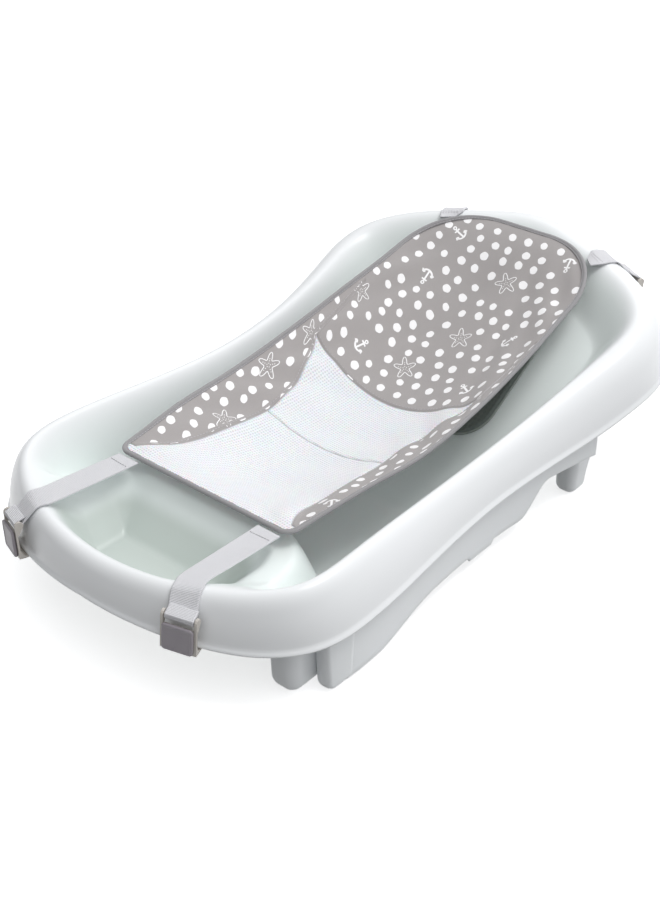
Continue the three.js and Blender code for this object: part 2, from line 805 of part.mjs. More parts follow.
function footStrap() {
  const beside = slingFoot - bindingRadius - 2 * gap;
  const from = new THREE.Vector3(beside, -footStrapY, slingHeight(slingFoot) - 1);
  return strap(footClip, from, new THREE.Vector3(0, 1, 0), strapWidth / 2, footStrapInboard);
}

// The head strap starts at the middle of the hoop's rounded corner and runs square to it.
function headStrap() {
  const middle = Math.SQRT1_2 * headCorner;
  const away = Math.SQRT1_2 * (bindingRadius + 3 * gap);
  const x = slingHead - headCorner + middle;
  const y = headCorner - middle - slingSide(x);
  const from = new THREE.Vector3(x + away, y - away, slingHeight(x) + 0.6);
  const across = new THREE.Vector3(1, 1, 0).normalize();
  return strap(headClip, from, across, (strapWidth - headStrapTaper) / 2, headStrapInboard);
}

// Extrudes an outline drawn in a clip's frame along the rim, centred sideways on a given place.
function alongRim(frame, points, width, sideways = 0) {
  const shape = new THREE.Shape(points.map(([a, b]) => new THREE.Vector2(a, b)));
  const geometry = new THREE.ExtrudeGeometry(shape, { depth: width, bevelEnabled: false });
  geometry.translate(0, 0, sideways - width / 2);
  const across = new THREE.Vector3().crossVectors(frame.out, frame.up);
  const place = new THREE.Matrix4().makeBasis(frame.out, frame.up, across).setPosition(frame.origin);
  return geometry.applyMatrix4(place);
}

// A shape in a clip's frame from places out from the bar and below it.
const aroundBar = (places) => places.map(([out, below]) => [barOut + out, barHeight - below]);

// The hook: a back plate with two ears that hold the bar, and a ledge curved about the bar that
// reaches under the rim's lower edge.
function rimHook(t) {
  const frame = clipFrame(t);
  const inner = Math.hypot(barOut + wall, barHeight) + ledgeAir;
  const outer = inner + ledgeThickness;
  const front = hookBack + hookPlate;
  const onArc = (radius, out) => [out, Math.sqrt(radius ** 2 - out ** 2)];
  const plate = aroundBar([
    [hookBack, hookTop],
    [hookBack, hookFoot],
    ...evenly(-1, -ledgeReach, 4).map((out) => onArc(inner, out)),
    ...evenly(-ledgeReach, front, 5).map((out) => onArc(outer, out)),
    [front, hookTop],
  ]);
  const ear = aroundBar([
    ...evenly(0, Math.PI, 6).map((angle) => [earRadius * Math.cos(angle), -earRadius * Math.sin(angle)]),
    [hookBack - 1.2, hookTop + 2],
    [front, hookTop + 2],
  ]);
  const bar = aroundBar(
    evenly(0, 1.8 * Math.PI, 9).map((angle) => [barRadius * Math.cos(angle), barRadius * Math.sin(angle)]),
  );
  const earPlace = strapWidth / 2 + 2 * gap + earWidth / 2;
  const full = 2 * earPlace + earWidth;
  const hook = toSolid(alongRim(frame, plate, full))
    .add(toSolid(alongRim(frame, bar, full - gap)))
    .add(toSolid(alongRim(frame, ear, earWidth, earPlace)))
    .add(toSolid(alongRim(frame, ear, earWidth, -earPlace)));
  return toGeometry(hook);
}

// The grey plate on the hook's front, with its edges eased.
function clipPlate(t) {
  const back = hookBack + hookPlate + gap;
  const front = back + clipDepth;
  const outline = aroundBar([
    [back, clipTop], [back, clipFoot - 1.5], [back + 1, clipFoot], [front - 0.4, clipFoot - 1],
    [front, clipFoot - 3.5], [front, clipTop + 2], [front - 1, clipTop],
  ]);
  return alongRim(clipFrame(t), outline, clipWidth);
}

// A right-hand piece copied to the left side.
function leftCopy(geometry) {
  const copy = geometry.clone();
  copy.scale(1, -1, 1);
  const index = copy.getIndex();
  if (index) {
    for (let i = 0; i < index.count; i += 3) {
      const second = index.getX(i + 1);
      index.setX(i + 1, index.getX(i + 2));
      index.setX(i + 2, second);
    }
    return copy;
  }
  const position = copy.getAttribute('position');
  for (let i = 0; i < position.count; i += 3) {
    for (const read of ['X', 'Y', 'Z']) {
      const second = position[`get${read}`](i + 1);
      position[`set${read}`](i + 1, position[`get${read}`](i + 2));
      position[`set${read}`](i + 2, second);
    }
  }
  return copy;
}

// ---------------------------------------------------------------------------------------------
// Materials and assembly
// ---------------------------------------------------------------------------------------------

const material = (color, roughness) => new THREE.MeshStandardMaterial({ color, roughness, metalness: 0 });
const finishes = {
  tub: material('#e9eceb', 0.28),
  plug: material('#c9cdcc', 0.55),
  pad: material('#77807b', 0.9),
  wire: new THREE.MeshStandardMaterial({ color: '#b9bcc0', roughness: 0.4, metalness: 0.8 }),
  binding: material('#9b9b9b', 0.9),
  print: material('#a4a19f', 0.9),
  mesh: material('#eeeaef', 0.9),
  webbing: material('#e2e2e6', 0.85),
  hook: material('#c4c0bb', 0.45),
  plate: material('#8b8888', 0.5),
};

const bathtub = new THREE.Group();

function place(name, geometry, finish) {
  const mesh = new THREE.Mesh(geometry, finishes[finish].clone());
  mesh.name = name;
  bathtub.add(mesh);
}

place('tub_shell', tubShell(), 'tub');
place('drain_plug', drainPlug(), 'plug');
place('back_pad', backPad(), 'pad');
place('sling_frame', slingFrame(), 'wire');
place('edge_binding', edgeBinding(), 'binding');
place('back_panel', backPanel(), 'print');
place('right_wing', wing(-1), 'print');
place('left_wing', wing(1), 'print');
place('seat_mesh', seatMesh(), 'mesh');
place('leg_mesh', legMesh(), 'mesh');

const rightPieces = [
  ['foot_strap', footStrap(), 'webbing'],
  ['head_strap', headStrap(), 'webbing'],
  ['foot_rim_hook', rimHook(footClip), 'hook'],
  ['head_rim_hook', rimHook(headClip), 'hook'],
  ['foot_clip_plate', clipPlate(footClip), 'plate'],
  ['head_clip_plate', clipPlate(headClip), 'plate'],
];
for (const [name, geometry, finish] of rightPieces) {
  place(`${name}_right`, geometry, finish);
  place(`${name}_left`, leftCopy(geometry), finish);
}

export default bathtub;
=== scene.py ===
"""Baby bathtub with a fabric sling: the visual model.

Lengths are in millimetres until a mesh is made, and metres from there on. +X is the head end, +Z is up
and the right side is -Y. The tub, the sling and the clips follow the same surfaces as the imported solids.
"""

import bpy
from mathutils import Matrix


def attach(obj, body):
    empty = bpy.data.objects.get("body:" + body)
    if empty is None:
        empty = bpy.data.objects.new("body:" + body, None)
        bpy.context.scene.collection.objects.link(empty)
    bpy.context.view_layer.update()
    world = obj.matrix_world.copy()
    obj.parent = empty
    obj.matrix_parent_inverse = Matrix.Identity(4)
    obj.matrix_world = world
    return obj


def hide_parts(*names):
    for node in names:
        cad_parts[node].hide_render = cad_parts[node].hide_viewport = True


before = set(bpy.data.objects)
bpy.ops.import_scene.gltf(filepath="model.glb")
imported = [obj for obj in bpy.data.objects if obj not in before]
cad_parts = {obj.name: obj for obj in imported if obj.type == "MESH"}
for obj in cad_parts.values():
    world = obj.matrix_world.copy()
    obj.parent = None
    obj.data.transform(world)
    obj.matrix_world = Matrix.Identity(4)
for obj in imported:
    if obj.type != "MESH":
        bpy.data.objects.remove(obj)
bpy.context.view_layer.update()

import math

import bmesh
import bpy
import numpy as np
from mathutils import Vector

MM = 0.001
SIDES = ((1, "right"), (-1, "left"))  # shapes are made for the right side, and mirrored in y for the left

# ---- Driving dimensions ----

WALL = 3.0
CREST = [  # control points of the rim's crest, foot to head: x, distance from the centre line, height
    (-353, 0, 103), (-334, 96, 106), (-299, 158, 111), (-262, 182, 115), (-201, 179, 117),
    (-114, 173, 112), (-11, 168, 109), (92, 171, 120), (177, 181, 142), (243, 192, 163),
    (288, 145, 179), (313, 63, 192), (333, 0, 200),
]
RIM_REACH = [18, 20, 22, 20, 32, 37, 39]
RIM_DROP = [34, 52, 57, 45, 56, 57, 55]
EDGE_FLARE = 2.8
FOOT_DENSITY = 0.45  # how much closer the tub's stations are at the foot than at the head
BASIN_WALL = 44
MAIN_FLOOR = 14
BACK_START = 62
BACK_SLOPE = 0.61
BACK_BLEND = 18
WELL_FLOOR = 44
WELL_HALF_WIDTH = 111
WELL_END = -213
WELL_START = -380
WELL_CORNER = 45
WELL_FLANK = 50
WELL_ROUNDING = 0.16
RIDGE_TOP = 88
RIDGE_WIDTH = 16
RIDGE_FLANK = 44
SEAT_BUMP = 5
SEAT_BUMP_X = -28
SEAT_BUMP_RUN = 16
SKIRT_INSET = 4
SKIRT_FROM = -242
SKIRT_TO = 150
SKIRT_LOW = 18
SKIRT_LEAST = 3.5
SKIRT_FOOT = (-225, -105)
SKIRT_TAB = (-49, -5)
SKIRT_TAB_DROP = 5
SKIRT_STEP = (36, 80)
SKIRT_STEP_RISE = 32
SKIRT_LAP = 9  # how far the skirt runs up inside the rim
LEGS = [  # place along, distance from the centre line, length, width and corner radius
    (-263.5, 160.5, 51, 32, 12), (-247, 187.5, 34, 21, 9), (144, 179, 30, 24, 9),
]
LEG_FOOT = 12
LEG_STEP = 6
LEG_DRAFT = 0.2
LEG_LAP = 8
REAR_LEG = 2
LEG_FLARE = 11.0  # the rear leg widens this much towards the head as it rises
DRAIN_X = -105
DRAIN_RADIUS = 15
PAD_FROM, PAD_TO, PAD_HALF, PAD_ROUND = 98, 262, 86, 34

SLING_FOOT = -219
SLING_HEAD = 304
SLING_WIDTHS = [110, 119, 126, 126, 123, 117, 115]
SLING_HEIGHTS = [104, 110, 111, 123, 142, 164, 191]
SLING_SAGS = [0, 40, 46, 52, 44, 24, 0]
FOOT_CORNER = 12
HEAD_CORNER = 84
MESH_TOP = 55
MESH_TOP_BOW = 15
BOW_END = 200
MESH_SEAM = -46
MESH_WAIST = 77
MESH_FOOT_SPREAD = 13
MESH_TOP_SPREAD = 30
MESH_CORNER_SPREAD = 12
MESH_CORNER_RUN = 45
WING_FOOT = -207
WING_TOP = 157
PANEL_INSET = 1.6  # the cloth runs into the binding, up to the wire
CLOTH = 1.1
CLOTH_ROW = 2.6  # distance between rows of points along the cloth
SEAM_TUCK = 0.9
WING_FOLD, WING_FOLD_PITCH = 2.3, 44
CORNER_FOLD, SEAT_FOLD = 0.7, 0.7
BACK_FOLDS = [  # depth, width, place across and along, slant, and the runs it rises and falls over
    (4.0, 15, 34, 150, -0.32, (70, 150), (220, 285)),
    (3.2, 12, -62, 170, 0.22, (90, 160), (230, 290)),
]
BINDING_RADIUS = 2.2
BINDING_HEM = 3.5
WIRE_RADIUS = 1.5

STRAP_WIDTH = 27
STRAP_THICKNESS = 1.5
STRAP_AIR = 1.0
STRAP_HEM = 0.5
HEAD_STRAP_TAPER = 10
STRAP_START = 4.6  # from the hoop's wire to the sewn end, apart from the gaps
FOOT_STRAP_Y = 91
FOOT_STRAP_INBOARD = 10
HEAD_STRAP_INBOARD = 4
BAR_RADIUS = 2
BAR_HEIGHT = 29  # the bar's height above the rim's lower edge
BAR_OUT = 5.2
HOOK_BACK = 2.2
HOOK_PLATE = 2
CLIP_DROP = 18.75  # from the bar down to the middle of the clip's plate
GAP = 0.4


def smooth(low, high, value):
    f = np.clip((np.asarray(value, float) - low) / (high - low), 0, 1)
    return f * f * (3 - 2 * f)


def bell(value, middle, width):
    return np.exp(-(((value - middle) / width) ** 2))


def ramp(low, high, value, rounding):
    """A straight rise from 0 to 1, rounded over a share of its run at each end."""
    f = np.clip((np.asarray(value, float) - low) / (high - low), 0, 1)
    steepness = 1 / (1 - rounding)
    start = steepness * f * f / (2 * rounding)
    end = 1 - steepness * (1 - f) ** 2 / (2 * rounding)
    return np.where(f < rounding, start, np.where(f > 1 - rounding, end, steepness * (f - rounding / 2)))


def between(before, here, after, later, f):
    """A smooth curve from here to after, f from 0 to 1, through evenly spread values."""
    start, end, rise = (after - before) / 2, (later - here) / 2, after - here
    return here + f * (start + f * (3 * rise - 2 * start - end + f * (start + end - 2 * rise)))


def spread(row, t):
    """A value read from a row of evenly spread numbers, t from 0 to 1, eased between them."""
    row = np.asarray(row, float)
    last = len(row) - 1
    place = np.clip(t, 0, 1) * last
    i = np.minimum(np.floor(place).astype(int), last - 1)
    return between(row[np.maximum(i - 1, 0)], row[i], row[i + 1], row[np.minimum(i + 2, last)], place - i)


def unit(v):
    """Directions along the last axis, brought to length 1."""
    return v / (np.linalg.norm(v, axis=-1, keepdims=True) + 1e-12)


def run_length(path):
    """The distance along a path at each of its points."""
    steps = np.linalg.norm(np.diff(path, axis=0), axis=1)
    return np.concatenate([[0], np.cumsum(steps)])


# ---- The tub's surface ----

crest_loop = np.array([(x, -y, z) for x, y, z in CREST] + CREST[-2:0:-1], float)


def crest(t):
    """Points of the crest: t is 0 at the foot, 0.5 at the head, and comes back along the left side."""
    count = len(crest_loop)
    place = np.mod(t, 1) * count
    i = np.floor(place).astype(int)
    f = place - i
    weights = [(1 - f) ** 3, 3 * f**3 - 6 * f**2 + 4, -3 * f**3 + 3 * f**2 + 3 * f + 1, f**3]
    return sum(w[..., None] * crest_loop[(i + k - 1) % count] for k, w in enumerate(weights)) / 6


def outward(t):
    along = crest(t + 0.004) - crest(t - 0.004)
    return unit(np.stack([along[..., 1], -along[..., 0], np.zeros_like(along[..., 0])], -1))


def foot_to_head(t):
    return 1 - np.abs(1 - 2 * np.mod(t, 1))


def reach(t):
    return spread(RIM_REACH, foot_to_head(t))


def drop(t):
    return spread(RIM_DROP, foot_to_head(t))


def well_distance(x, y):
    """Distance outside the foot well's outline, negative inside."""
    dx = np.abs(x - (WELL_END + WELL_START) / 2) - (WELL_END - WELL_START) / 2 + WELL_CORNER
    dy = np.abs(y) - WELL_HALF_WIDTH + WELL_CORNER
    return np.hypot(np.maximum(dx, 0), np.maximum(dy, 0)) + np.minimum(np.maximum(dx, dy), 0) - WELL_CORNER


def floor_height(x, y):
    """Height of the tub's floor: main well, back slope, ridge and foot well."""
    slope = BACK_BLEND * BACK_SLOPE * np.logaddexp(0, (x - BACK_START) / BACK_BLEND)
    main = MAIN_FLOOR + slope + SEAT_BUMP * bell(x, SEAT_BUMP_X, SEAT_BUMP_RUN)
    r = well_distance(x, y)
    ridge = main + (RIDGE_TOP - main) * (1 - smooth(RIDGE_WIDTH, RIDGE_WIDTH + RIDGE_FLANK, r))
    return WELL_FLOOR + (ridge - WELL_FLOOR) * ramp(-WELL_FLANK, 0, r, WELL_ROUNDING)


def basin_height(top, x, y, inward):
    """Height of the basin's surface, at a distance inside a crest of the given height."""
    floor = np.minimum(floor_height(x, y), top - 2)
    return top - (top - floor) * smooth(0, BASIN_WALL, inward)


def inside_point(t, inward, middle):
    """A point inside the crest, middle from 0 to 1 at the tub's centre line."""
    top = crest(t)
    point = top - outward(t) * inward
    centre = np.stack([top[..., 0] * 0.72, np.zeros_like(t), np.zeros_like(t)], -1)
    point = point + (centre - point) * middle
    point[..., 2] = basin_height(top[..., 2], point[..., 0], point[..., 1], inward)
    return point


def rim_point(t, turn, flare=0.0):
    """A point of the rolled rim, turn from 0 at the crest to 1 at the lower edge."""
    angle = turn * math.pi / 2
    out = reach(t) * math.sin(angle) + flare * smooth(5, 1, drop(t) * math.cos(angle))
    point = crest(t) + outward(t) * np.asarray(out)[..., None]
    point[..., 2] -= drop(t) * (1 - math.cos(angle))
    return point


trace_t = np.arange(2000) / 2000
trace = crest(trace_t)
trace_out = outward(trace_t)
trace_reach = reach(trace_t)
trace_drop = drop(trace_t)


def nearest(x, y):
    """The nearest place on the crest in plan, and the distance inside it."""
    i = np.argmin((trace[:, 0] - x) ** 2 + (trace[:, 1] - y) ** 2)
    return i, -((x - trace[i, 0]) * trace_out[i, 0] + (y - trace[i, 1]) * trace_out[i, 1])


def tub_height(x, y):
    """Height of the tub's upper surface, rim included."""
    i, inward = nearest(x, y)
    if inward < 0:
        part = min(-inward / trace_reach[i], 1)
        return trace[i, 2] - trace_drop[i] * (1 - math.sqrt(1 - part * part))
    return float(basin_height(trace[i, 2], x, y, inward))


# ---- Meshes ----


def add_mesh(name, points, faces, material):
    """A smooth mesh object from points in millimetres."""
    mesh = bpy.data.meshes.new(name)
    mesh.from_pydata((np.asarray(points, float).reshape(-1, 3) * MM).tolist(), [], faces)
    mesh.update()
    mesh.shade_smooth()
    mesh.materials.append(material)
    obj = bpy.data.objects.new(name, mesh)
    bpy.context.collection.objects.link(obj)
    return obj


def grid_faces(rows, columns, wrap_rows=False, wrap_columns=True, caps=False):
    """Quads between rows of points, each with as many columns, and a face at each end if there are caps."""
    i, j = np.meshgrid(
        np.arange(rows if wrap_rows else rows - 1),
        np.arange(columns if wrap_columns else columns - 1),
        indexing="ij",
    )
    ni, nj = (i + 1) % rows, (j + 1) % columns
    quads = np.stack([i * columns + j, ni * columns + j, ni * columns + nj, i * columns + nj], -1)
    ends = [list(range(columns)), list(range((rows - 1) * columns, rows * columns))[::-1]]
    return quads.reshape(-1, 4).tolist() + (ends if caps else [])


def edit(obj, work):
    """Runs work on the object's bmesh and tidies its normals."""
    bm = bmesh.new()
    bm.from_mesh(obj.data)
    work(bm)
    bm.normal_update()
    bm.to_mesh(obj.data)
    bm.free()
    obj.data.update()
    return obj


def face_out(obj):
    return edit(obj, lambda bm: bmesh.ops.recalc_face_normals(bm, faces=bm.faces[:]))


def face_up(obj):
    """Turns the faces over if they look down."""
    if sum(face.normal.z for face in obj.data.polygons) < 0:
        edit(obj, lambda bm: bmesh.ops.reverse_faces(bm, faces=bm.faces[:]))
    return obj


def solid(name, rings, material, side=1):
    """A closed piece through rings of points, mirrored in y where side is -1."""
    rings = np.asarray(rings, float) * (1, side, 1)
    faces = grid_faces(len(rings), len(rings[0]), caps=True)
    return face_out(add_mesh(name, rings, faces, material))


def thicken(obj, thickness, offset=-1.0, even=True):
    modifier = obj.modifiers.new("Solid", "SOLIDIFY")
    modifier.thickness = thickness * MM
    modifier.offset = offset
    modifier.use_even_offset = even
    bpy.context.view_layer.update()
    evaluated = obj.evaluated_get(bpy.context.evaluated_depsgraph_get())
    mesh = bpy.data.meshes.new_from_object(evaluated)
    obj.modifiers.clear()
    obj.data = mesh


def set_uv(obj, places):
    """Cloth coordinates in metres, from a place in millimetres for each point. Weaves run along them."""
    layer = obj.data.uv_layers.new(name="cloth")
    corners = [loop.vertex_index for loop in obj.data.loops]
    uv = np.asarray(places, float).reshape(-1, 2)[corners] * MM
    layer.data.foreach_set("uv", uv.astype(np.float32).ravel())


def set_mask(obj, name, values):
    mask = obj.data.attributes.new(name, "FLOAT", "POINT")
    mask.data.foreach_set("value", np.asarray(values, np.float32).ravel())


def finish_piece(obj, slot, *nodes, body="tub"):
    """Puts a piece on its body, and hides the nodes that it stands for. The slot is not used."""
    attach(obj, body)
    if nodes:
        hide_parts(*nodes)


def tube(name, path, radius, material, closed=False, sides=10, flat=1.0):
    """A round or flattened tube along a path in millimetres."""
    path = np.asarray(path, float)
    along = unit(np.roll(path, -1, 0) - np.roll(path, 1, 0) if closed else np.gradient(path, axis=0))
    side = unit(np.cross(along, (0, 0, 1)))
    up = np.cross(side, along)
    angle = 2 * math.pi * np.arange(sides) / sides
    ring = side[:, None] * np.cos(angle)[None, :, None] + up[:, None] * (np.sin(angle) * flat)[None, :, None]
    faces = grid_faces(len(path), sides, wrap_rows=closed, caps=not closed)
    return face_out(add_mesh(name, path[:, None] + ring * radius, faces, material))


def stitches(name, path, material, length=2.6, pause=1.4, radius=0.32, lift=0.0):
    """A row of stitches: short threads, each arched out of the cloth, along a path."""
    path = np.asarray(path, float)
    place = run_length(path)
    rings, sides = 5, 6
    one = [face[::-1] for face in grid_faces(rings, sides, caps=True)]
    arch = lift + radius * 1.1 * np.sin(np.linspace(0, math.pi, rings)) - 0.1
    angle = 2 * math.pi * np.arange(sides) / sides
    points, faces, start = [], [], 0.0
    while start + length < place[-1]:
        at = np.linspace(start, start + length, rings)
        line = np.stack([np.interp(at, place, path[:, k]) for k in range(3)], 1)
        line[:, 2] += arch
        along = unit(line[-1] - line[0])
        side = unit(np.cross(along, (0, 0, 1)))
        ring = np.outer(np.cos(angle), side) + np.outer(np.sin(angle), np.cross(side, along))
        faces += [[len(points) + k for k in face] for face in one]
        points += list((line[:, None] + ring[None] * radius).reshape(-1, 3))
        start += length + pause
    return add_mesh(name, points, faces, material)


# ---- Materials ----


class Nodes:
    """A short way to build a material's nodes."""

    def __init__(self, name):
        self.material = bpy.data.materials.new(name)
        self.material.use_nodes = True
        self.tree = self.material.node_tree
        self.tree.nodes.clear()
        self.shader = self.tree.nodes.new("ShaderNodeBsdfPrincipled")
        output = self.tree.nodes.new("ShaderNodeOutputMaterial")
        self.tree.links.new(self.shader.outputs[0], output.inputs[0])

    def add(self, kind, output=0, sockets=(), **settings):
        """One output of a new node, whose sockets are set, or linked to other nodes' outputs."""
        node = self.tree.nodes.new("ShaderNode" + kind)
        for key, value in settings.items():
            setattr(node, key, value)
        for key, value in dict(sockets).items():
            self.put(value, node.inputs[key])
        return node.outputs[output]

    def put(self, value, target):
        if hasattr(value, "links"):
            self.tree.links.new(value, target)
        else:
            target.default_value = value

    def math(self, operation, a, b):
        return self.add("Math", 0, {0: a, 1: b}, operation=operation)

    def place(self):
        """Object coordinates in metres."""
        return self.add("TexCoord", "Object")

    def cloth(self, scale=(1, 1, 1), turn=0.0):
        """Coordinates in metres that run with the cloth, scaled and turned."""
        source = self.add("UVMap", uv_map="cloth")
        return self.add("Mapping", 0, {0: source, "Scale": scale, "Rotation": (0, 0, turn)})

    def noise(self, where, scale, detail=3.0, rough=0.5):
        sockets = {"Vector": where, "Scale": scale, "Detail": detail, "Roughness": rough}
        return self.add("TexNoise", 0, sockets)

    def wave(self, where, scale, direction="X", distortion=0.0):
        sockets = {"Vector": where, "Scale": scale, "Distortion": distortion}
        return self.add("TexWave", "Fac", sockets, bands_direction=direction)

    def voronoi(self, where, scale, randomness=1.0):
        return self.add("TexVoronoi", "Distance", {"Vector": where, "Scale": scale, "Randomness": randomness})

    def mix(self, factor, a, b):
        a, b = ((*value, 1) if isinstance(value, tuple) else value for value in (a, b))
        return self.add("Mix", 2, {0: factor, 6: a, 7: b}, data_type="RGBA")

    def scaled(self, value, low, high, start=0.0, end=1.0):
        """A value from low to high, as the given one goes from start to end."""
        return self.add("MapRange", 0, {0: value, 1: start, 2: end, 3: low, 4: high})

    def bump(self, height, distance, strength, before=None):
        sockets = {"Height": height, "Distance": distance, "Strength": strength}
        if before is not None:
            sockets["Normal"] = before
        return self.add("Bump", 0, sockets)

    def mask(self, name):
        return self.add("Attribute", "Fac", attribute_name=name)

    def set(self, **sockets):
        for name, value in sockets.items():
            self.put(value, self.shader.inputs[name.replace("_", " ")])
        return self.material


def srgb(r, g, b):
    """Linear colour from display values 0 to 255."""
    return tuple(((c / 255 + 0.055) / 1.055) ** 2.4 if c > 10 else c / 3294.6 for c in (r, g, b))


def tub_plastic():
    n = Nodes("tub_plastic")
    where = n.place()
    broad = n.noise(where, 9, 3)
    basin = n.mix(broad, srgb(240, 247, 245), srgb(244, 250, 248))
    # The foot well's darker colour is painted shade: a darker copy of the basin's colour standing in for the
    # shade in the recess.
    well = n.mix(broad, srgb(204, 213, 208), srgb(210, 218, 213))
    outer = n.mix(broad, srgb(240, 242, 243), srgb(245, 246, 248))
    colour = n.mix(n.mask("inside"), outer, n.mix(n.mask("well"), basin, well))
    rough = n.scaled(n.noise(where, 60, 4), 0.26, 0.36)
    ripple = n.bump(n.noise(where, 25, 2), 0.0004, 0.25)
    bump = n.bump(n.noise(where, 900, 2), 0.00004, 0.5, ripple)
    return n.set(
        Base_Color=colour, Roughness=rough, Normal=bump, IOR=1.49, Coat_Weight=0.15, Coat_Roughness=0.2
    )


def skirt_plastic():
    n = Nodes("skirt_plastic")
    where = n.place()
    colour = n.mix(n.noise(where, 14, 3), srgb(232, 235, 236), srgb(238, 240, 242))
    rough = n.scaled(n.noise(where, 60, 4), 0.34, 0.46)
    return n.set(
        Base_Color=colour, Roughness=rough, Normal=n.bump(n.noise(where, 700, 2), 0.00005, 0.5), IOR=1.49
    )


def woven(name, low, high, pitch):
    """A plain weave in cloth coordinates, with slubs and faint wear."""
    n = Nodes(name)
    where = n.cloth()
    across, along = (n.wave(where, 0.5 / pitch, direction, 0.6) for direction in "XY")
    weave = n.math("MULTIPLY", across, along)
    cloud = n.noise(where, 18, 4, 0.6)
    slub = n.noise(n.cloth((1, 6, 1)), 160, 3)
    tone = n.math("ADD", n.math("MULTIPLY", cloud, 0.55), n.math("MULTIPLY", slub, 0.45))
    # The gaps between the yarns are mixed towards black: painted shade in the weave's hollows.
    colour = n.mix(n.scaled(weave, 0.16, 0.0), n.mix(tone, low, high), (0.0, 0.0, 0.0))
    height = n.math("ADD", weave, n.math("MULTIPLY", slub, 0.6))
    return n.set(
        Base_Color=colour, Roughness=0.9, Normal=n.bump(height, 0.00012, 0.7), Sheen_Weight=0.25,
        Sheen_Roughness=0.5, IOR=1.4,
    )


def net_cloth():
    """White knitted net: rows of small holes, staggered, with a soft nap."""
    n = Nodes("net_cloth")
    where = n.cloth(turn=0.12)
    hole = n.scaled(n.voronoi(where, 330, 0.12), 1, 0, 0.2, 0.42)
    yarn = n.noise(n.cloth((1, 3, 1)), 900, 2)
    colour = n.mix(n.noise(where, 14, 3), srgb(240, 238, 242), srgb(247, 245, 248))
    # The holes are painted a darker grey: painted shade standing in for the shaded space seen through real
    # holes.
    colour = n.mix(n.math("MULTIPLY", hole, 0.5), colour, srgb(190, 186, 192))
    height = n.math("SUBTRACT", n.math("MULTIPLY", yarn, 0.3), hole)
    return n.set(
        Base_Color=colour, Roughness=0.85, Normal=n.bump(height, 0.0004, 0.8), Sheen_Weight=0.2, IOR=1.4,
        Subsurface_Weight=0.5, Subsurface_Scale=0.003,
    )


def webbing_cloth():
    """White ribbed webbing: fine ribs across the strap and a waffle of crossing yarns."""
    n = Nodes("webbing_cloth")
    where = n.cloth()
    ribs = n.wave(where, 0.5 / 0.0021, "X", 0.4)
    cross = n.wave(where, 0.5 / 0.0016, "Y", 0.4)
    weave = n.math("MULTIPLY", n.math("ADD", ribs, 0.35), n.math("ADD", cross, 0.5))
    colour = n.mix(n.noise(where, 40, 3), srgb(240, 240, 244), srgb(249, 248, 251))
    # The grooves between the ribs are mixed towards grey: painted shade in the weave's hollows.
    colour = n.mix(n.scaled(weave, 0.36, 0.0), colour, srgb(168, 168, 176))
    bump = n.bump(weave, 0.00045, 0.8)
    return n.set(Base_Color=colour, Roughness=0.75, Normal=bump, Sheen_Weight=0.3, IOR=1.4)


def thread(name, colour):
    n = Nodes(name)
    twist = n.wave(n.place(), 900, "DIAGONAL", 1.0)
    # The twist's stripes are painted darker: painted shade in the grooves between the thread's plies.
    tone = n.mix(twist, tuple(c * 0.8 for c in colour), colour)
    return n.set(Base_Color=tone, Roughness=0.8, Normal=n.bump(twist, 0.00008, 0.6), Sheen_Weight=0.2)


def ink():
    """White print: soft matte ink that takes on the weave beneath it."""
    n = Nodes("print_ink")
    across, along = (n.wave(n.cloth(), 500, direction, 0.6) for direction in "XY")
    colour = n.mix(n.noise(n.place(), 55, 4), srgb(250, 248, 248), srgb(255, 254, 255))
    bump = n.bump(n.math("MULTIPLY", across, along), 0.00008, 0.5)
    return n.set(Base_Color=colour, Roughness=0.85, Normal=bump, IOR=1.4)


def moulded(name, low, high, rough, **more):
    """Moulded plastic with a fine spark-eroded grain and slight tone changes."""
    n = Nodes(name)
    where = n.place()
    return n.set(
        Base_Color=n.mix(n.noise(where, 70, 4), srgb(*low), srgb(*high)),
        Roughness=n.scaled(n.noise(where, 160, 4), rough - 0.06, rough + 0.08),
        Normal=n.bump(n.noise(where, 1680, 2), 0.00006, 0.6),
        **more,
    )


def foam():
    """Dark closed-cell foam under a thin skin, with small embossed dots."""
    n = Nodes("pad_foam")
    where = n.place()
    dimple = n.scaled(n.voronoi(n.cloth(), 210, 0.0), 1, 0, 0.28, 0.45)
    colour = n.mix(n.noise(where, 22, 4), srgb(112, 120, 115), srgb(126, 134, 129))
    colour = n.mix(n.math("MULTIPLY", dimple, 0.25), colour, srgb(94, 101, 97))
    bump = n.bump(n.voronoi(where, 900), 0.00012, 0.5, n.bump(dimple, 0.0004, 0.5))
    return n.set(Base_Color=colour, Roughness=0.82, Normal=bump, Sheen_Weight=0.1)


def pale_floor():
    n = Nodes("pale_floor")
    colour = n.mix(n.noise(n.place(), 3, 3), (0.93, 0.93, 0.935), (0.95, 0.95, 0.955))
    return n.set(Base_Color=colour, Roughness=0.8, Emission_Color=(1, 1, 1, 1), Emission_Strength=0.6)


plastic = tub_plastic()
under_plastic = skirt_plastic()
grey_cloth = woven("grey_cloth", srgb(175, 170, 169), srgb(186, 181, 180), 0.0011)
binding_cloth = woven("binding_cloth", srgb(158, 156, 158), srgb(172, 170, 172), 0.0013)
net = net_cloth()
webbing = webbing_cloth()
white_thread = thread("white_thread", srgb(226, 224, 228))
grey_thread = thread("grey_thread", srgb(205, 202, 205))
white_ink = ink()
plate_plastic = moulded("clip_plate_plastic", (140, 134, 141), (152, 146, 152), 0.42)
hook_plastic = moulded("hook_plastic", (196, 190, 182), (208, 203, 197), 0.36)
plug_rubber = moulded("plug_rubber", (204, 209, 207), (214, 218, 216), 0.55)
pad_foam = foam()
pad_edge = moulded("pad_edge_tape", (150, 157, 152), (164, 170, 166), 0.8)
bare_wire = moulded("wire_metal", (168, 170, 174), (186, 188, 191), 0.35, Metallic=0.9)


# ---- Tub ----


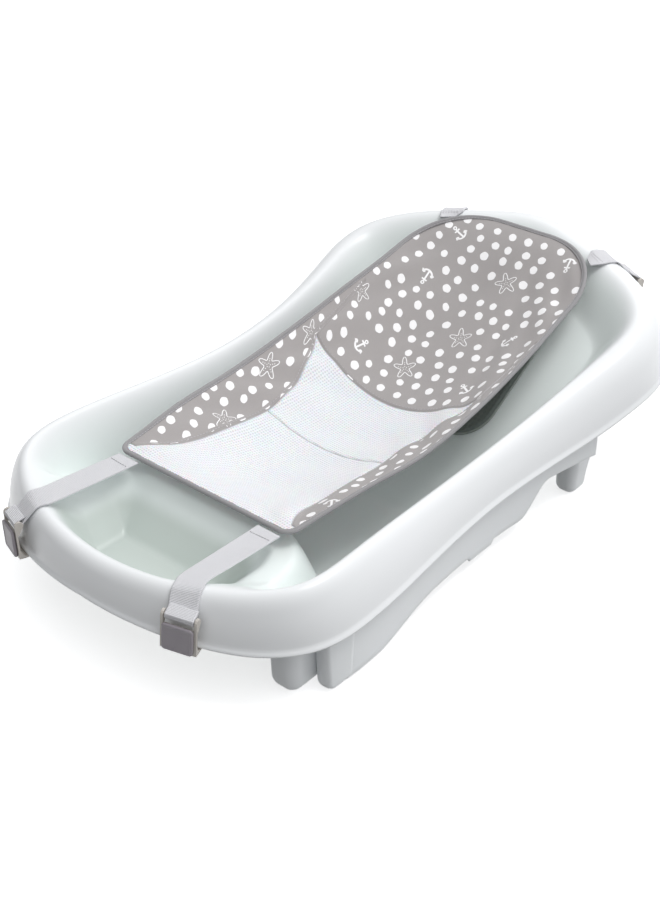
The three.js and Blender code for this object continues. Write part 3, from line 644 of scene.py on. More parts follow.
def tub_shell():
    stations, rim_rows, wall_rows, middle_rows = 520, 30, 30, 52
    even = np.arange(stations) / stations
    t = even - FOOT_DENSITY * np.sin(2 * math.pi * even) / (2 * math.pi)
    columns = [rim_point(t, turn, EDGE_FLARE) for turn in 1 - (np.arange(rim_rows) / rim_rows) ** 1.25]
    depths = np.linspace(0, BASIN_WALL, wall_rows + 1)
    columns += [inside_point(t, inward, 0) for inward in depths]
    columns += [inside_point(t, BASIN_WALL, k / middle_rows) for k in range(1, middle_rows + 1)]
    points = np.stack(columns, 1)
    obj = add_mesh("tub_shell_body", points, grid_faces(*points.shape[:2], True, False), plastic)
    inside = np.concatenate([np.zeros(rim_rows), smooth(1, 22, depths), np.ones(middle_rows)])
    set_mask(obj, "inside", np.tile(inside, stations))
    # The well mask places that painted shade on the foot well's floor and lower walls; the upper wall keeps
    # the basin's colour.
    set_mask(obj, "well", 1 - smooth(-27, -13, well_distance(points[..., 0], points[..., 1])))

    def open_drain(bm):
        bmesh.ops.remove_doubles(bm, verts=bm.verts[:], dist=0.00005)
        centre = Vector((DRAIN_X * MM, 0, 0))
        radius = DRAIN_RADIUS * MM
        flat = lambda v: Vector((v.co.x - centre.x, v.co.y, 0))
        gone = [v for v in bm.verts if flat(v).length < radius]
        bmesh.ops.delete(bm, geom=gone, context="VERTS")
        for v in bm.verts:
            if v.is_boundary and flat(v).length < radius * 1.6:
                v.co.xy = (centre + flat(v).normalized() * radius).xy

    face_up(face_out(edit(obj, open_drain)))
    thicken(obj, WALL)
    finish_piece(obj, "tub", "tub_shell")


def skirt(side, name):
    """The side skirt: a strip hung inside the rim's lower edge, with a rounded bottom edge."""
    t = np.linspace(0.05, 0.44, 460)
    x = crest(t)[:, 0]
    t = t[(x >= SKIRT_FROM) & (x <= SKIRT_TO)]
    top = crest(t)
    x, edge = top[:, 0], top[:, 2] - drop(t)
    tab_from, tab_to = SKIRT_TAB
    tab = smooth(tab_from, tab_from + 4, x) - smooth(tab_to - 5, tab_to, x)
    bottom = np.maximum(SKIRT_LOW * smooth(*SKIRT_FOOT, x) - SKIRT_TAB_DROP * tab, SKIRT_LEAST)
    bottom = np.minimum(bottom + SKIRT_STEP_RISE * smooth(*SKIRT_STEP, x), edge + SKIRT_LAP - 3)
    height = edge + SKIRT_LAP - 1 - bottom
    section = [(0.0, bottom + height * h + 1.0) for h in np.linspace(1, 0, 12)[:-1]]
    for inner, lift in [(0.0, 1.0), (-0.35, 0.35), (-1.1, 0.0), (-WALL + 0.8, 0.0), (-WALL, 0.8)]:
        section.append((inner, bottom + lift))
    section.append((-WALL, edge + SKIRT_LAP))
    columns = []
    for inner, z in section:
        column = top + outward(t) * (reach(t) - SKIRT_INSET + inner)[:, None]
        column[:, 2] = z
        columns.append(column)
    obj = solid(f"tub_skirt_{name}", np.stack(columns, 1), under_plastic, side)
    finish_piece(obj, "tub", "tub_shell")


def rounded_outline(size_x, size_y, radius, per_corner=8):
    points = []
    for cx, cy, start in ((1, 1, 0), (-1, 1, 90), (-1, -1, 180), (1, -1, 270)):
        for angle in np.radians(np.linspace(start, start + 90, per_corner + 1)):
            x = cx * (size_x / 2 - radius) + radius * math.cos(angle)
            points.append((x, cy * (size_y / 2 - radius) + radius * math.sin(angle)))
    return points


def leg(index, side, name):
    """A leg: a closed block under the rim, with a rounded foot."""
    x0, y0, size_x, size_y, radius = LEGS[index]
    foot = min(LEG_FOOT, 0.42 * size_y)
    angles = np.linspace(0, math.pi / 2, 9)
    levels = [(foot * (1 - math.cos(a)), foot * (1 - math.sin(a))) for a in angles]
    levels += [(foot + LEG_STEP * k, -LEG_DRAFT * k) for k in range(1, 13)]
    rings = []
    for z, inset in levels:
        ring = []
        for px, py in rounded_outline(size_x - 2 * inset, size_y - 2 * inset, max(radius - inset, 3)):
            if index == REAR_LEG and px > 0:
                px += LEG_FLARE * float(smooth(10, 66, z))
            x, y = x0 + px, -(y0 + py)
            i, inward = nearest(x, y)
            past = min(inward + trace_reach[i] - SKIRT_INSET + 1, 0)
            x, y = x + trace_out[i, 0] * past, y + trace_out[i, 1] * past
            under_rim = trace[i, 2] - trace_drop[i] + LEG_LAP
            ring.append((x, y, min(z, under_rim, tub_height(x, y) - WALL - 0.5)))
        rings.append(ring)
    finish_piece(solid(f"tub_leg_{index + 1}_{name}", rings, under_plastic, side), "tub", "tub_shell")


def drain_plug():
    """The plug, turned from (radius, height) pairs: stem, brim and knob."""
    r, top = DRAIN_RADIUS, MAIN_FLOOR + 1.4
    stem = [(-4, 3), (-3, 3.2), (-2.2, 4), (-1.2, 7), (-1.6, 8), (-0.6, 9.5), (-1.2, 10.5)]
    brim = [
        (-0.5, -1.6), (-0.4, 0), (5.6, 0), (6, 0.5), (5.8, 1.6), (4.6, 2.6), (2, 3.1), (-3, 3.3),
    ]
    knob = [(7.5, 3.4), (6.4, 3.9), (5.6, 5.4), (5.4, 8), (5.9, 10), (5.4, 11.6), (3.6, 12.5), (0.8, 12.7)]
    profile = [(r + out, z) for out, z in stem] + [(r + out, top + z) for out, z in brim]
    profile += [(radius, top + z) for radius, z in knob]
    angle = 2 * math.pi * np.arange(72) / 72
    rings = [
        np.stack([DRAIN_X + radius * np.cos(angle), radius * np.sin(angle), np.full(72, z)], 1)
        for radius, z in profile
    ]
    finish_piece(solid("drain_plug_rubber", rings, plug_rubber), "plug", "drain_plug", body="plug")


# ---- Back pad ----


def pad_width(x):
    near_end = np.minimum(x - PAD_FROM, PAD_TO - x)
    run = np.clip(PAD_ROUND - near_end, 0, PAD_ROUND)
    return PAD_HALF - (PAD_ROUND - np.sqrt(PAD_ROUND**2 - run**2))


def back_pad():
    """The non-slip pad on the back slope: soft, slightly crowned, with a taped edge."""
    rows, columns = 71, 73
    x = PAD_FROM + (PAD_TO - PAD_FROM) * (1 - np.cos(np.linspace(0, math.pi, rows))) / 2
    xs = np.repeat(x[:, None], columns, 1)
    ys = pad_width(xs) * np.sin(np.linspace(-math.pi / 2, math.pi / 2, columns))
    inset = np.minimum(np.minimum(xs - PAD_FROM, PAD_TO - xs), pad_width(xs) - np.abs(ys))
    lift = 2.4 + 3.0 * smooth(-0.5, 4.5, inset) + 0.5 * smooth(5, 40, inset) - 0.7 * bell(inset, 7.5, 0.9)
    points = np.stack([xs, ys, floor_height(xs, ys) + lift], -1)
    pad = add_mesh("back_pad_foam", points, grid_faces(rows, columns, False, False), pad_foam)
    set_uv(pad, points[..., :2])
    face_up(face_out(pad))
    thicken(pad, 1.9)
    finish_piece(pad, "pad", "back_pad")
    half = pad_width(x[1:-1]) - 0.4
    end_y = np.linspace(PAD_ROUND - PAD_HALF, PAD_HALF - PAD_ROUND, 12)
    x_loop = np.concatenate([x[1:-1], np.full(12, PAD_TO - 0.4), x[-2:0:-1], np.full(12, PAD_FROM + 0.4)])
    y_loop = np.concatenate([-half, end_y, half[::-1], end_y[::-1]])
    path = np.stack([x_loop, y_loop, floor_height(x_loop, y_loop) + 2.2], 1)
    finish_piece(tube("back_pad_edge", path, 1.25, pad_edge, closed=True), "pad")


# ---- Sling ----


def sling_t(x):
    return (np.asarray(x, float) - SLING_FOOT) / (SLING_HEAD - SLING_FOOT)


def sling_side(x):
    return spread(SLING_WIDTHS, sling_t(x))


def sling_height(x):
    return spread(SLING_HEIGHTS, sling_t(x))


def corner_cut(from_end, radius):
    run = np.clip(radius - from_end, 0, radius)
    return radius - np.sqrt(radius**2 - run**2)


def half_width(x, inset):
    """Half width inside the hoop at x, a distance inside its centre line."""
    x = np.asarray(x, float)
    foot = corner_cut(x - SLING_FOOT - inset, FOOT_CORNER - inset)
    head = corner_cut(SLING_HEAD - inset - x, HEAD_CORNER - inset)
    return sling_side(x) - inset - foot - head


def creases(x, y):
    """Soft folds in the hammock, fading out at the hoop."""
    from_side = half_width(np.clip(x, SLING_FOOT + 4, SLING_HEAD - 4), 3) - np.abs(y)
    fade = smooth(0, 20, from_side) * smooth(0, 24, x - SLING_FOOT) * smooth(0, 30, SLING_HEAD - x)
    slant = 2 * math.pi * (0.55 * x + 0.85 * np.abs(y)) / WING_FOLD_PITCH
    folds = WING_FOLD * np.sin(slant + 0.9 * np.sin(x / 37)) * smooth(50, 100, np.abs(y))
    for depth, width, across, along, lean, rise, fall in BACK_FOLDS:
        shape = bell(y, across + lean * (x - along), width)
        folds = folds - depth * shape * smooth(*rise, x) * (1 - smooth(*fall, x))
    to_side = sling_side(x) - np.abs(y)
    angle = np.arctan2(to_side + 6, x - SLING_FOOT + 8)
    from_corner = np.hypot(to_side, x - SLING_FOOT)
    corners = CORNER_FOLD * np.sin(9 * angle) * smooth(6, 40, from_corner) * np.exp(-from_corner / 80)
    seat = SEAT_FOLD * np.sin(x / 9.5 + 1.2 * np.sin(y / 33)) * bell(x, 0, 120)
    seat = seat * (1 - smooth(55, 85, np.abs(y)))
    return fade * (folds + corners + seat)


def hammock(x, y):
    """Height of the sling's cloth."""
    across = np.minimum(np.abs(y) / sling_side(x), 1)
    return sling_height(x) - spread(SLING_SAGS, sling_t(x)) * (1 - across**2) + creases(x, y)


def slopes(x, y, d):
    """The cloth's slopes along x and y, measured over a distance d each way."""
    slope_x = (hammock(x + d, y) - hammock(x - d, y)) / (2 * d)
    slope_y = (hammock(x, y + d) - hammock(x, y - d)) / (2 * d)
    return slope_x, slope_y


def mesh_side(x):
    """The seam between the mesh and a wing, and on the leg half the mesh's way to the hoop's corner."""
    x = np.asarray(x, float)
    to_foot = (MESH_SEAM - x) / (MESH_SEAM - WING_FOOT)
    to_top = (x - MESH_SEAM) / (MESH_TOP - MESH_SEAM)
    to_corner = np.clip(1 - (x - WING_FOOT) / MESH_CORNER_RUN, 0, 1)
    to_hoop = MESH_FOOT_SPREAD * to_foot**2 + MESH_CORNER_SPREAD * to_corner**2
    return MESH_WAIST + np.where(x < MESH_SEAM, to_hoop, MESH_TOP_SPREAD * to_top**2)


def row_bow(x, y):
    """The rows of cloth bow towards the head at the sides, most of all along the seam above the mesh."""
    near = smooth(MESH_SEAM, MESH_TOP, x) * (1 - smooth(MESH_TOP, BOW_END, x))
    return MESH_TOP_BOW * near * (np.asarray(y) / float(sling_side(MESH_TOP))) ** 2


def panel_edge(x):
    return half_width(x, PANEL_INSET)


def wing_inner(x):
    """The seam along a wing's inner side, beside the mesh and then beside the back panel."""
    x = np.asarray(x, float)
    part = (x - MESH_TOP) / (WING_TOP - MESH_TOP)
    start = mesh_side(MESH_TOP)
    slanted = start + (half_width(WING_TOP, 5.4) - 1.5 - start) * part
    return np.where(x <= MESH_TOP, mesh_side(x), slanted)


def cloth_panel(name, rows, columns, low, high, material, seams):
    """A cloth panel on the hammock between two edges. Along seams the cloth is tucked down a little."""
    rows = np.asarray(rows, float)
    x = rows[:, None]
    lo, hi = low(x), high(x)
    y = lo + (hi - lo) * np.linspace(0, 1, columns)
    x = np.repeat(x, columns, 1)
    bowed = x + row_bow(x, y)
    from_edges = {"low": y - lo, "high": hi - y, "foot": x - rows[0], "head": rows[-1] - x}
    from_seam = np.min([from_edges[seam] for seam in seams], 0)
    z = hammock(bowed, y) - SEAM_TUCK * ((1 - smooth(0, 2.6, from_seam)) - 0.5 * bell(from_seam, 3.4, 1.6))
    points = np.stack([bowed, y, z], -1)
    obj = add_mesh(name, points, grid_faces(len(rows), columns, False, False), material)
    set_uv(obj, points[..., :2])
    face_up(obj)
    thicken(obj, CLOTH, 0, even=False)
    return obj


def rows_between(start, end):
    return np.linspace(start, end, int((end - start) / CLOTH_ROW) + 2)


def sling_panels():
    quarter = lambda count: np.linspace(0, math.pi / 2, count)
    both = lambda edge: (lambda x: -edge(x), edge)
    back_edge = lambda x: np.where(x < WING_TOP, wing_inner(x), panel_edge(x))
    corner_from = SLING_HEAD - HEAD_CORNER
    head_rows = np.concatenate([
        rows_between(MESH_TOP, corner_from)[:-1],
        corner_from + (HEAD_CORNER - PANEL_INSET) * np.sin(quarter(34)),
    ])
    back = cloth_panel("back_panel_cloth", head_rows, 96, *both(back_edge), grey_cloth, ("foot",))
    finish_piece(back, "print", "back_panel")
    inner = lambda x: np.minimum(wing_inner(x), panel_edge(x))
    for side, name in SIDES:
        if side > 0:
            edges, seam = (lambda x: -panel_edge(x), lambda x: -inner(x)), "high"
        else:
            edges, seam = (inner, panel_edge), "low"
        wing_rows = rows_between(WING_FOOT, WING_TOP)
        wing = cloth_panel(f"{name}_wing_cloth", wing_rows, 26, *edges, grey_cloth, (seam,))
        finish_piece(wing, "print", f"{name}_wing")
    foot_rows = np.concatenate([
        SLING_FOOT + PANEL_INSET + (FOOT_CORNER - PANEL_INSET) * (1 - np.cos(quarter(20)))[:-1],
        rows_between(SLING_FOOT + FOOT_CORNER, MESH_SEAM),
    ])
    leg_edge = lambda x: np.where(x < WING_FOOT, panel_edge(x), mesh_side(x))
    legs = cloth_panel("leg_mesh_cloth", foot_rows, 90, *both(leg_edge), net, ("low", "high", "head"))
    finish_piece(legs, "mesh", "leg_mesh")
    seat_rows = rows_between(MESH_SEAM, MESH_TOP)
    seat = cloth_panel(
        "seat_mesh_cloth", seat_rows, 90, *both(mesh_side), net, ("low", "high", "foot", "head")
    )
    finish_piece(seat, "mesh", "seat_mesh")


def on_cloth(x, y, lift):
    """Points a distance above the sling's upper face, on rows that bow with the cloth."""
    x, y = np.asarray(x, float), np.asarray(y, float)
    x = x + row_bow(x, y)
    slope_x, slope_y = slopes(x, y, 0.5)
    normal = unit(np.stack([-slope_x, -slope_y, np.ones_like(slope_x)], -1))
    return np.stack([x, y, hammock(x, y)], -1) + normal * (CLOTH / 2 + lift)


def seams_and_stitching():
    cord_lift, thread_lift = -0.9, 0.35
    for name, x in (("seat_seam", MESH_SEAM), ("back_seam", MESH_TOP)):
        half = float(mesh_side(x))
        path = on_cloth(np.full(120, x), np.linspace(-half, half, 120), cord_lift)
        finish_piece(tube(f"{name}_cord", path, 0.75, grey_thread, flat=0.7), "mesh")
    line = on_cloth(np.full(200, MESH_TOP + 3.2), np.linspace(-half, half, 200), thread_lift)
    finish_piece(stitches("back_seam_stitches", line, grey_thread), "print")
    for side, name in SIDES:
        x = np.linspace(WING_FOOT + 2, WING_TOP - 6, 400)
        path = on_cloth(x, -side * wing_inner(x), cord_lift)
        finish_piece(tube(f"wing_seam_cord_{name}", path, 0.7, grey_thread, flat=0.7), "print")
        line = on_cloth(x[20:], -side * (wing_inner(x[20:]) + 3.0), thread_lift)
        finish_piece(stitches(f"wing_seam_stitches_{name}", line, grey_thread), "print")


def hoop_line(inset=0.0):
    """The hoop in plan: foot edge, right side, head edge, left side."""
    foot_r, head_r = FOOT_CORNER - inset, HEAD_CORNER - inset
    foot_x, head_x = SLING_FOOT + inset, SLING_HEAD - inset
    arc = np.linspace(0, math.pi / 2, 26)
    foot_arc = foot_x + foot_r * (1 - np.cos(arc))
    side = np.linspace(foot_x + foot_r, head_x - head_r, 150)[1:-1]
    head_arc = head_x - head_r * (1 - np.sin(arc))
    end = np.linspace(0, 1, 24)[:-1]
    x = np.concatenate([np.full(len(end), foot_x), foot_arc, side, head_arc, np.full(len(end), head_x)])
    y = np.concatenate([
        (sling_side(SLING_FOOT) - FOOT_CORNER) * end,
        sling_side(foot_arc) - inset - foot_r * (1 - np.sin(arc)),
        sling_side(side) - inset,
        sling_side(head_arc) - inset - head_r * (1 - np.cos(arc)),
        (sling_side(SLING_HEAD) - HEAD_CORNER) * end[::-1],
    ])
    right = np.stack([x, y], 1)
    return np.concatenate([right * (1, -1), right[-2:0:-1]])


def binding():
    """The cloth binding folded round the wire, with its stitched inner edge."""
    plan = hoop_line()
    path = np.column_stack([plan, sling_height(plan[:, 0])])
    length = np.cumsum(np.linalg.norm(np.diff(path, axis=0, append=path[:1]), axis=1))
    along = unit(np.roll(path, -1, 0) - np.roll(path, 1, 0))
    inner = hoop_line(2 * BINDING_HEM)
    slope = unit(np.column_stack([inner, hammock(inner[:, 0], inner[:, 1])]) - path)
    above = unit(np.cross(along, slope))
    above *= np.sign(above[:, 2:3])
    puckers = 0.16 * np.sin(length / 2.9) + 0.12 * np.sin(length / 1.7 + 1.1)
    fold = BINDING_HEM - 0.8
    section = [(BINDING_HEM, 0.65 + 0.5 * puckers), (BINDING_HEM, 1 + puckers), (fold, 1.25 + puckers)]
    start = math.radians(36)  # where the fold leaves the wire, from the cloth's direction
    for k, angle in enumerate(np.linspace(start, 2 * math.pi - start, 15)):
        r = BINDING_RADIUS * (1 + 0.03 * np.sin(length / 4.3 + k))
        section.append((r * math.cos(angle), r * math.sin(angle)))
    section += [(fold, -1.25), (BINDING_HEM, -1.0), (BINDING_HEM, -0.65)]
    column = lambda value: np.broadcast_to(value, len(path))[:, None]
    at = lambda inwards, up: path + slope * column(inwards) + above * column(up)
    points = np.stack([at(*place) for place in section], 1)
    obj = add_mesh("edge_binding_cloth", points, grid_faces(*points.shape[:2], True), binding_cloth)
    set_uv(obj, np.stack(np.meshgrid(length, 1.2 * np.arange(len(section)), indexing="ij"), -1))
    finish_piece(face_out(obj), "binding", "edge_binding")
    line = at(2.9, 1.2 + puckers)
    line = np.concatenate([line, line[:1]])
    finish_piece(stitches("binding_stitches", line, grey_thread, 2.4, 1.3, 0.3, 0.1), "binding")
    wire = tube("sling_wire", path, WIRE_RADIUS, bare_wire, closed=True, sides=12)
    finish_piece(wire, "wire", "sling_frame")


# ---- Print ----

DOT_RADIUS = 4.75
DOT_PITCH = 21.6
DOT_JITTER = 2.4
DOT_STRETCH = 1.22  # the print is a little longer along one diagonal of the sling
DOT_LEAN = np.array([0.76, 0.65])
STAR_SIZE = 12.5
STAR_LINE = 0.95
ANCHOR_SIZE = 9.6
DOT_ROW = 0.87  # distance between rows of dots, as a share of the pitch
DOT_SIZES = (0.86, 1.06)
DOT_WOBBLE = 0.05
MOTIF_CLEARANCE = 1.05 * STAR_SIZE + DOT_RADIUS
INK_MARGIN = 0.8
MOTIF_MARGIN = 9  # a motif this far past a panel's edge still shows, cut off at the edge
INK_LIFT = 0.14
ANCHORS = [  # place on the sling and turn
    (271, 68, -0.27), (210, 68, 1.57), (99, 71, -1.96), (168, -75, -2.27), (95, -73, -0.68), (274, -76, 1.67),
    (-159, -108, 2.26),
]
STARS = [
    (238, -21, 0.59), (163, -16, 0.44), (106, 15, 0.65), (146, 110, 1.07), (-5, 112, 0.73), (-98, 88, 0.81),
    (63, 112, 0.81),
]
ANCHOR_STROKES = [  # width and ends of the shank, the stock and the two flukes' barbs
    (2.3, (0, 0.64), (0, -0.78)), (2.1, (-0.36, 0.4), (0.36, 0.4)),
    (1.9, (-0.4, -0.4), (-0.65, -0.2)), (1.9, (-0.65, -0.2), (-0.8, -0.52)),
    (1.9, (0.4, -0.4), (0.65, -0.2)), (1.9, (0.65, -0.2), (0.8, -0.52)),
]

rng = np.random.default_rng(7)


def stretch(x, y):
    """How much longer the cloth is than its plan, along x and along y."""
    return [float(np.hypot(1, slope)) for slope in slopes(x, y, 2.0)]


def stretched(outline):
    return outline + (outline @ DOT_LEAN)[:, None] * DOT_LEAN * (DOT_STRETCH - 1)


def arc(centre, radius, start, end, count):
    angle = np.radians(np.linspace(start, end, count))
    return np.stack([np.cos(angle), np.sin(angle)], 1) * radius + centre


class Print:
    """Flat shapes laid on one panel of the sling and cut at its edges."""

    def __init__(self, low, high, start, end):
        self.low, self.high, self.start, self.end = low, high, start, end
        self.points, self.faces = [], []

    def inside(self, x, y, margin):
        along = self.start - margin < x < self.end + margin
        return along and self.low(x) - margin < y < self.high(x) + margin

    def add(self, outline, faces, at):
        """Adds a shape given in cloth millimetres round a place on the panel."""
        places = outline / stretch(*at) + at
        x = np.clip(places[:, 0], self.start, self.end)
        y = np.clip(places[:, 1], self.low(x), self.high(x))
        base = len(self.points)
        self.points.extend(on_cloth(x, y, INK_LIFT))
        for face in faces:
            a, b, c = (self.points[base + k] for k in face[:3])
            if np.linalg.norm(np.cross(b - a, c - a)) > 1e-4:
                self.faces.append([base + k for k in face])

    def disc(self, at, radius, wobble=0.0):
        count = 20
        angle = 2 * math.pi * np.arange(count) / count
        r = radius * (1 + wobble * np.sin(2 * angle + rng.uniform(0, 6)) + 0.6 * wobble * np.sin(5 * angle))
        rim = stretched(np.stack([r * np.cos(angle), r * np.sin(angle)], 1))
        faces = [[0, 1 + k, 1 + (k + 1) % count] for k in range(count)]
        faces += [[1 + k for k in face] for face in grid_faces(3, count)]
        self.add(np.concatenate([np.zeros((1, 2)), 0.4 * rim, 0.72 * rim, rim]), faces, at)

    def stroke(self, line, width, at, turn, size, closed=False):
        """A drawn line. Its points are in units of the motif's size."""
        c, s = math.cos(turn), math.sin(turn)
        line = stretched(np.asarray(line, float) @ np.array([[c, s], [-s, c]]) * size)
        along = unit(np.roll(line, -1, 0) - np.roll(line, 1, 0) if closed else np.gradient(line, axis=0))
        side = np.stack([-along[:, 1], along[:, 0]], 1) * width / 2
        outline = np.stack([line - side, line + side], 1).reshape(-1, 2)
        self.add(outline, grid_faces(len(line), 2, closed, False), at)

    def anchor(self, at, turn):
        ring, arms = arc((0, 0.8), 0.17, 0, 345, 20), arc((0, -0.1), 0.68, 205, 335, 26)
        self.stroke(ring, 1.7, at, turn, ANCHOR_SIZE, closed=True)
        self.stroke(arms, 2.4, at, turn, ANCHOR_SIZE)
        for width, start, end in ANCHOR_STROKES:
            self.stroke(np.linspace(start, end, 12), width, at, turn, ANCHOR_SIZE)

    def star(self, at, turn):
        angle = np.linspace(0, 2 * math.pi, 91)[:-1]
        arm = 0.66 + 0.3 * np.cos(5 * angle) + 0.05 * np.cos(10 * angle)
        outline = np.stack([arm * np.cos(angle), arm * np.sin(angle)], 1)
        self.stroke(outline, STAR_LINE, at, turn, STAR_SIZE, closed=True)
        for a in turn + 2 * math.pi * np.arange(5) / 5:
            for r in (0.16, 0.38, 0.58):
                step = r * STAR_SIZE * np.array([math.cos(a), math.sin(a)])
                self.disc(tuple(at + step / stretch(*at)), 0.5)

    def dots(self, phase):
        """Rows of dots, staggered and unevenly placed, clear of the motifs."""
        x, row = self.start - 4 + phase, 0
        while x < self.end + DOT_RADIUS:
            xc = min(max(x, self.start), self.end)
            y = float(self.low(xc)) - 3 + 0.4 * DOT_PITCH * (row % 2)
            while y < float(self.high(xc)) + 3:
                px, py = (v + rng.uniform(-DOT_JITTER, DOT_JITTER) for v in (x, y))
                bowed = px + float(row_bow(px, py))
                near = min(math.hypot(bowed - mx, py - my) for mx, my, _ in ANCHORS + STARS)
                if self.inside(px, py, 2.5) and near > MOTIF_CLEARANCE:
                    self.disc((px, py), DOT_RADIUS * rng.uniform(*DOT_SIZES), DOT_WOBBLE)
                y += DOT_PITCH / stretch(xc, min(max(y, -120), 120))[1]
            x += DOT_PITCH * DOT_ROW / stretch(xc, 0.0)[0]
            row += 1

    def build(self, name):
        for places, draw in ((ANCHORS, self.anchor), (STARS, self.star)):
            for mx, my, turn in places:
                at = (mx - float(row_bow(mx, my)), my)
                if self.inside(*at, MOTIF_MARGIN):
                    draw(at, turn)
        obj = add_mesh(name, self.points, self.faces, white_ink)
        set_uv(obj, np.array(self.points)[:, :2])
        finish_piece(face_up(obj), "print")


def prints():
    margin = BINDING_HEM - PANEL_INSET - 0.4
    back_edge = lambda x: np.where(x < WING_TOP, wing_inner(x) - INK_MARGIN, panel_edge(x) - margin)
    outer = lambda x: np.maximum(panel_edge(x) - margin, wing_inner(x))
    inner = lambda x: wing_inner(x) + INK_MARGIN
    back_run = (MESH_TOP + 0.6, SLING_HEAD - BINDING_HEM + 0.3)
    wing_run = (WING_FOOT + 2, WING_TOP - 4)
    for name, low, high, run, phase in (
        ("back_panel", lambda x: -back_edge(x), back_edge, back_run, 0),
        ("left_wing", inner, outer, wing_run, 5),
        ("right_wing", lambda x: -outer(x), lambda x: -inner(x), wing_run, 9),
    ):
        panel = Print(low, high, *run)
        panel.dots(phase)
        panel.build(f"{name}_print")


# ---- Straps and clips ----


def clip_place(distance, low, high):
    """The place on the right side's crest at a distance from the centre line."""
    y = lambda t: -float(crest(np.array(t))[1])
    for _ in range(30):
        middle = (low + high) / 2
        if (y(middle) > distance) == (y(high) > y(low)):
            high = middle
        else:
            low = middle
    return (low + high) / 2


FOOT_CLIP = clip_place(98, 0, 0.15)
HEAD_CLIP = clip_place(100, 0.4, 0.5)


class ClipFrame:
    """Axes at the rim's lower edge under a clip: out from the rim, along its edge, and up."""

    def __init__(self, t):
        at = lambda value: rim_point(np.array(value), 1.0)
        self.origin = at(t)
        self.along = unit(at(t + 0.01) - at(t - 0.01))
        out = outward(np.array(t))
        self.out = unit(out - self.along * out.dot(self.along))
        up = np.cross(self.out, self.along)
        self.up = up * np.sign(up[2])

    def place(self, out, up, along=0.0):
        return self.origin + self.out * out + self.up * up + self.along * along

    def flat(self, point):
        """A point's distances out from the rim's lower edge and up from it."""
        return np.array([np.dot(point - self.origin, self.out), np.dot(point - self.origin, self.up)])


def over_rim(t, turn, lift):
    angle = turn * math.pi / 2
    away = unit(np.array([math.sin(angle) / float(reach(t)), math.cos(angle) / float(drop(t))]))
    return rim_point(t, turn) + outward(t) * lift * away[0] + np.array([0, 0, lift * away[1]])


def eased(points, steps):
    """A smooth line through points, and a straight blend of anything else that travels with them."""
    last = len(points) - 1
    result = []
    for i in range(last):
        around = points[max(i - 1, 0)], points[i], points[i + 1], points[min(i + 2, last)]
        result += [between(*around, f) for f in np.arange(steps) / steps]
    return np.array(result + [points[-1]])


def strap_stations(t, start, start_across, start_half, inboard):
    """Centres, directions across and half widths: from the hoop's corner, over the rim and round the bar."""
    clip = ClipFrame(t)
    t = np.array(t)
    half = STRAP_WIDTH / 2
    lift = STRAP_THICKNESS / 2 + STRAP_AIR
    crest_along = unit(crest(t + 0.01) - crest(t - 0.01))
    over = over_rim(t, 0, lift) - outward(t) * inboard
    across = start_across if np.dot(start_across, crest_along) > 0 else -start_across
    stations = []
    for part in (0, 0.35, 0.7, 1):
        wide = unit(across + (crest_along - across) * part)
        stations.append((start + (over - start) * part, wide, start_half + (half - start_half) * part))
    for turn in (0, 0.14, 0.28):
        wide = unit(crest_along + (clip.along - crest_along) * turn * 2)
        stations.append((over_rim(t, turn, lift), wide, half))
    last = clip.flat(stations[-1][0])
    bar = np.array([BAR_OUT, BAR_HEIGHT])
    to_bar = unit(bar - last)
    above = np.array([-to_bar[1], to_bar[0]])
    radius = BAR_RADIUS + GAP + STRAP_THICKNESS / 2
    loop = [
        bar + (to_bar * math.cos(angle) + above * math.sin(angle)) * radius
        for angle in np.linspace(-math.pi / 2, math.pi / 2, 7)
    ]
    hem = last + (loop[0] - last) * STRAP_HEM + above * (STRAP_THICKNESS + GAP)
    stations += [(clip.place(*point), clip.along, half) for point in loop + [hem]]
    return eased(np.array([np.concatenate([centre, wide, [h]]) for centre, wide, h in stations]), 9)


def strap(name, side, stations):
    """A webbing strap along its stations, with raised selvedges, and stitched across at both ends."""
    centre, wide, halves = stations[:, :3], unit(stations[:, 3:6]), stations[:, 6]
    length = run_length(centre)
    face = unit(np.cross(unit(np.gradient(centre, axis=0)), wide))
    if face[len(centre) // 4, 2] < 0:
        face = -face
    columns = 25
    place = np.linspace(-1, 1, columns)
    selvedge = 0.22 * bell(np.abs(place), 0.9, 0.06)
    sag = -0.5 * (1 - place**2)
    free = smooth(4, 30, length) * (1 - smooth(0.35, 0.5, length / length[-1]))
    half_thickness = STRAP_THICKNESS / 2 * (1 - 0.45 * (np.abs(place) > 0.985))
    level = centre[:, None] + wide[:, None] * (place[:, None] * halves[:, None, None])
    rise = (half_thickness + selvedge)[:, None]
    upper, lower = (
        level + face[:, None] * (sign * rise + sag[:, None] * free[:, None, None]) for sign in (1, -1)
    )
    obj = solid(f"{name}_webbing", np.concatenate([upper, lower[:, ::-1]], 1), webbing, side)
    across = (place + 1) / 2 * STRAP_WIDTH
    set_uv(obj, np.stack(np.meshgrid(length, np.concatenate([across, across[::-1]]), indexing="ij"), -1))
    total = float(length[-1])
    finish_piece(obj, "webbing", name)
    for label, at, material, size in (
        ("stitches_1", 9.0, white_thread, (2.2, 1.1, 0.3)),
        ("stitches_2", 12.5, white_thread, (2.2, 1.1, 0.3)),
        ("hem_stitches_1", total - 3.0, grey_thread, (2.0, 1.0, 0.28)),
        ("hem_stitches_2", total - 6.5, grey_thread, (2.0, 1.0, 0.28)),
    ):
        i = int(np.searchsorted(length, at))
        line = centre[i] + np.outer(np.linspace(-0.82, 0.82, 30) * halves[i], wide[i])
        line = (line + face[i] * (STRAP_THICKNESS / 2 + 0.1)) * (1, side, 1)
        finish_piece(stitches(f"{name}_{label}", line, material, *size), "webbing")


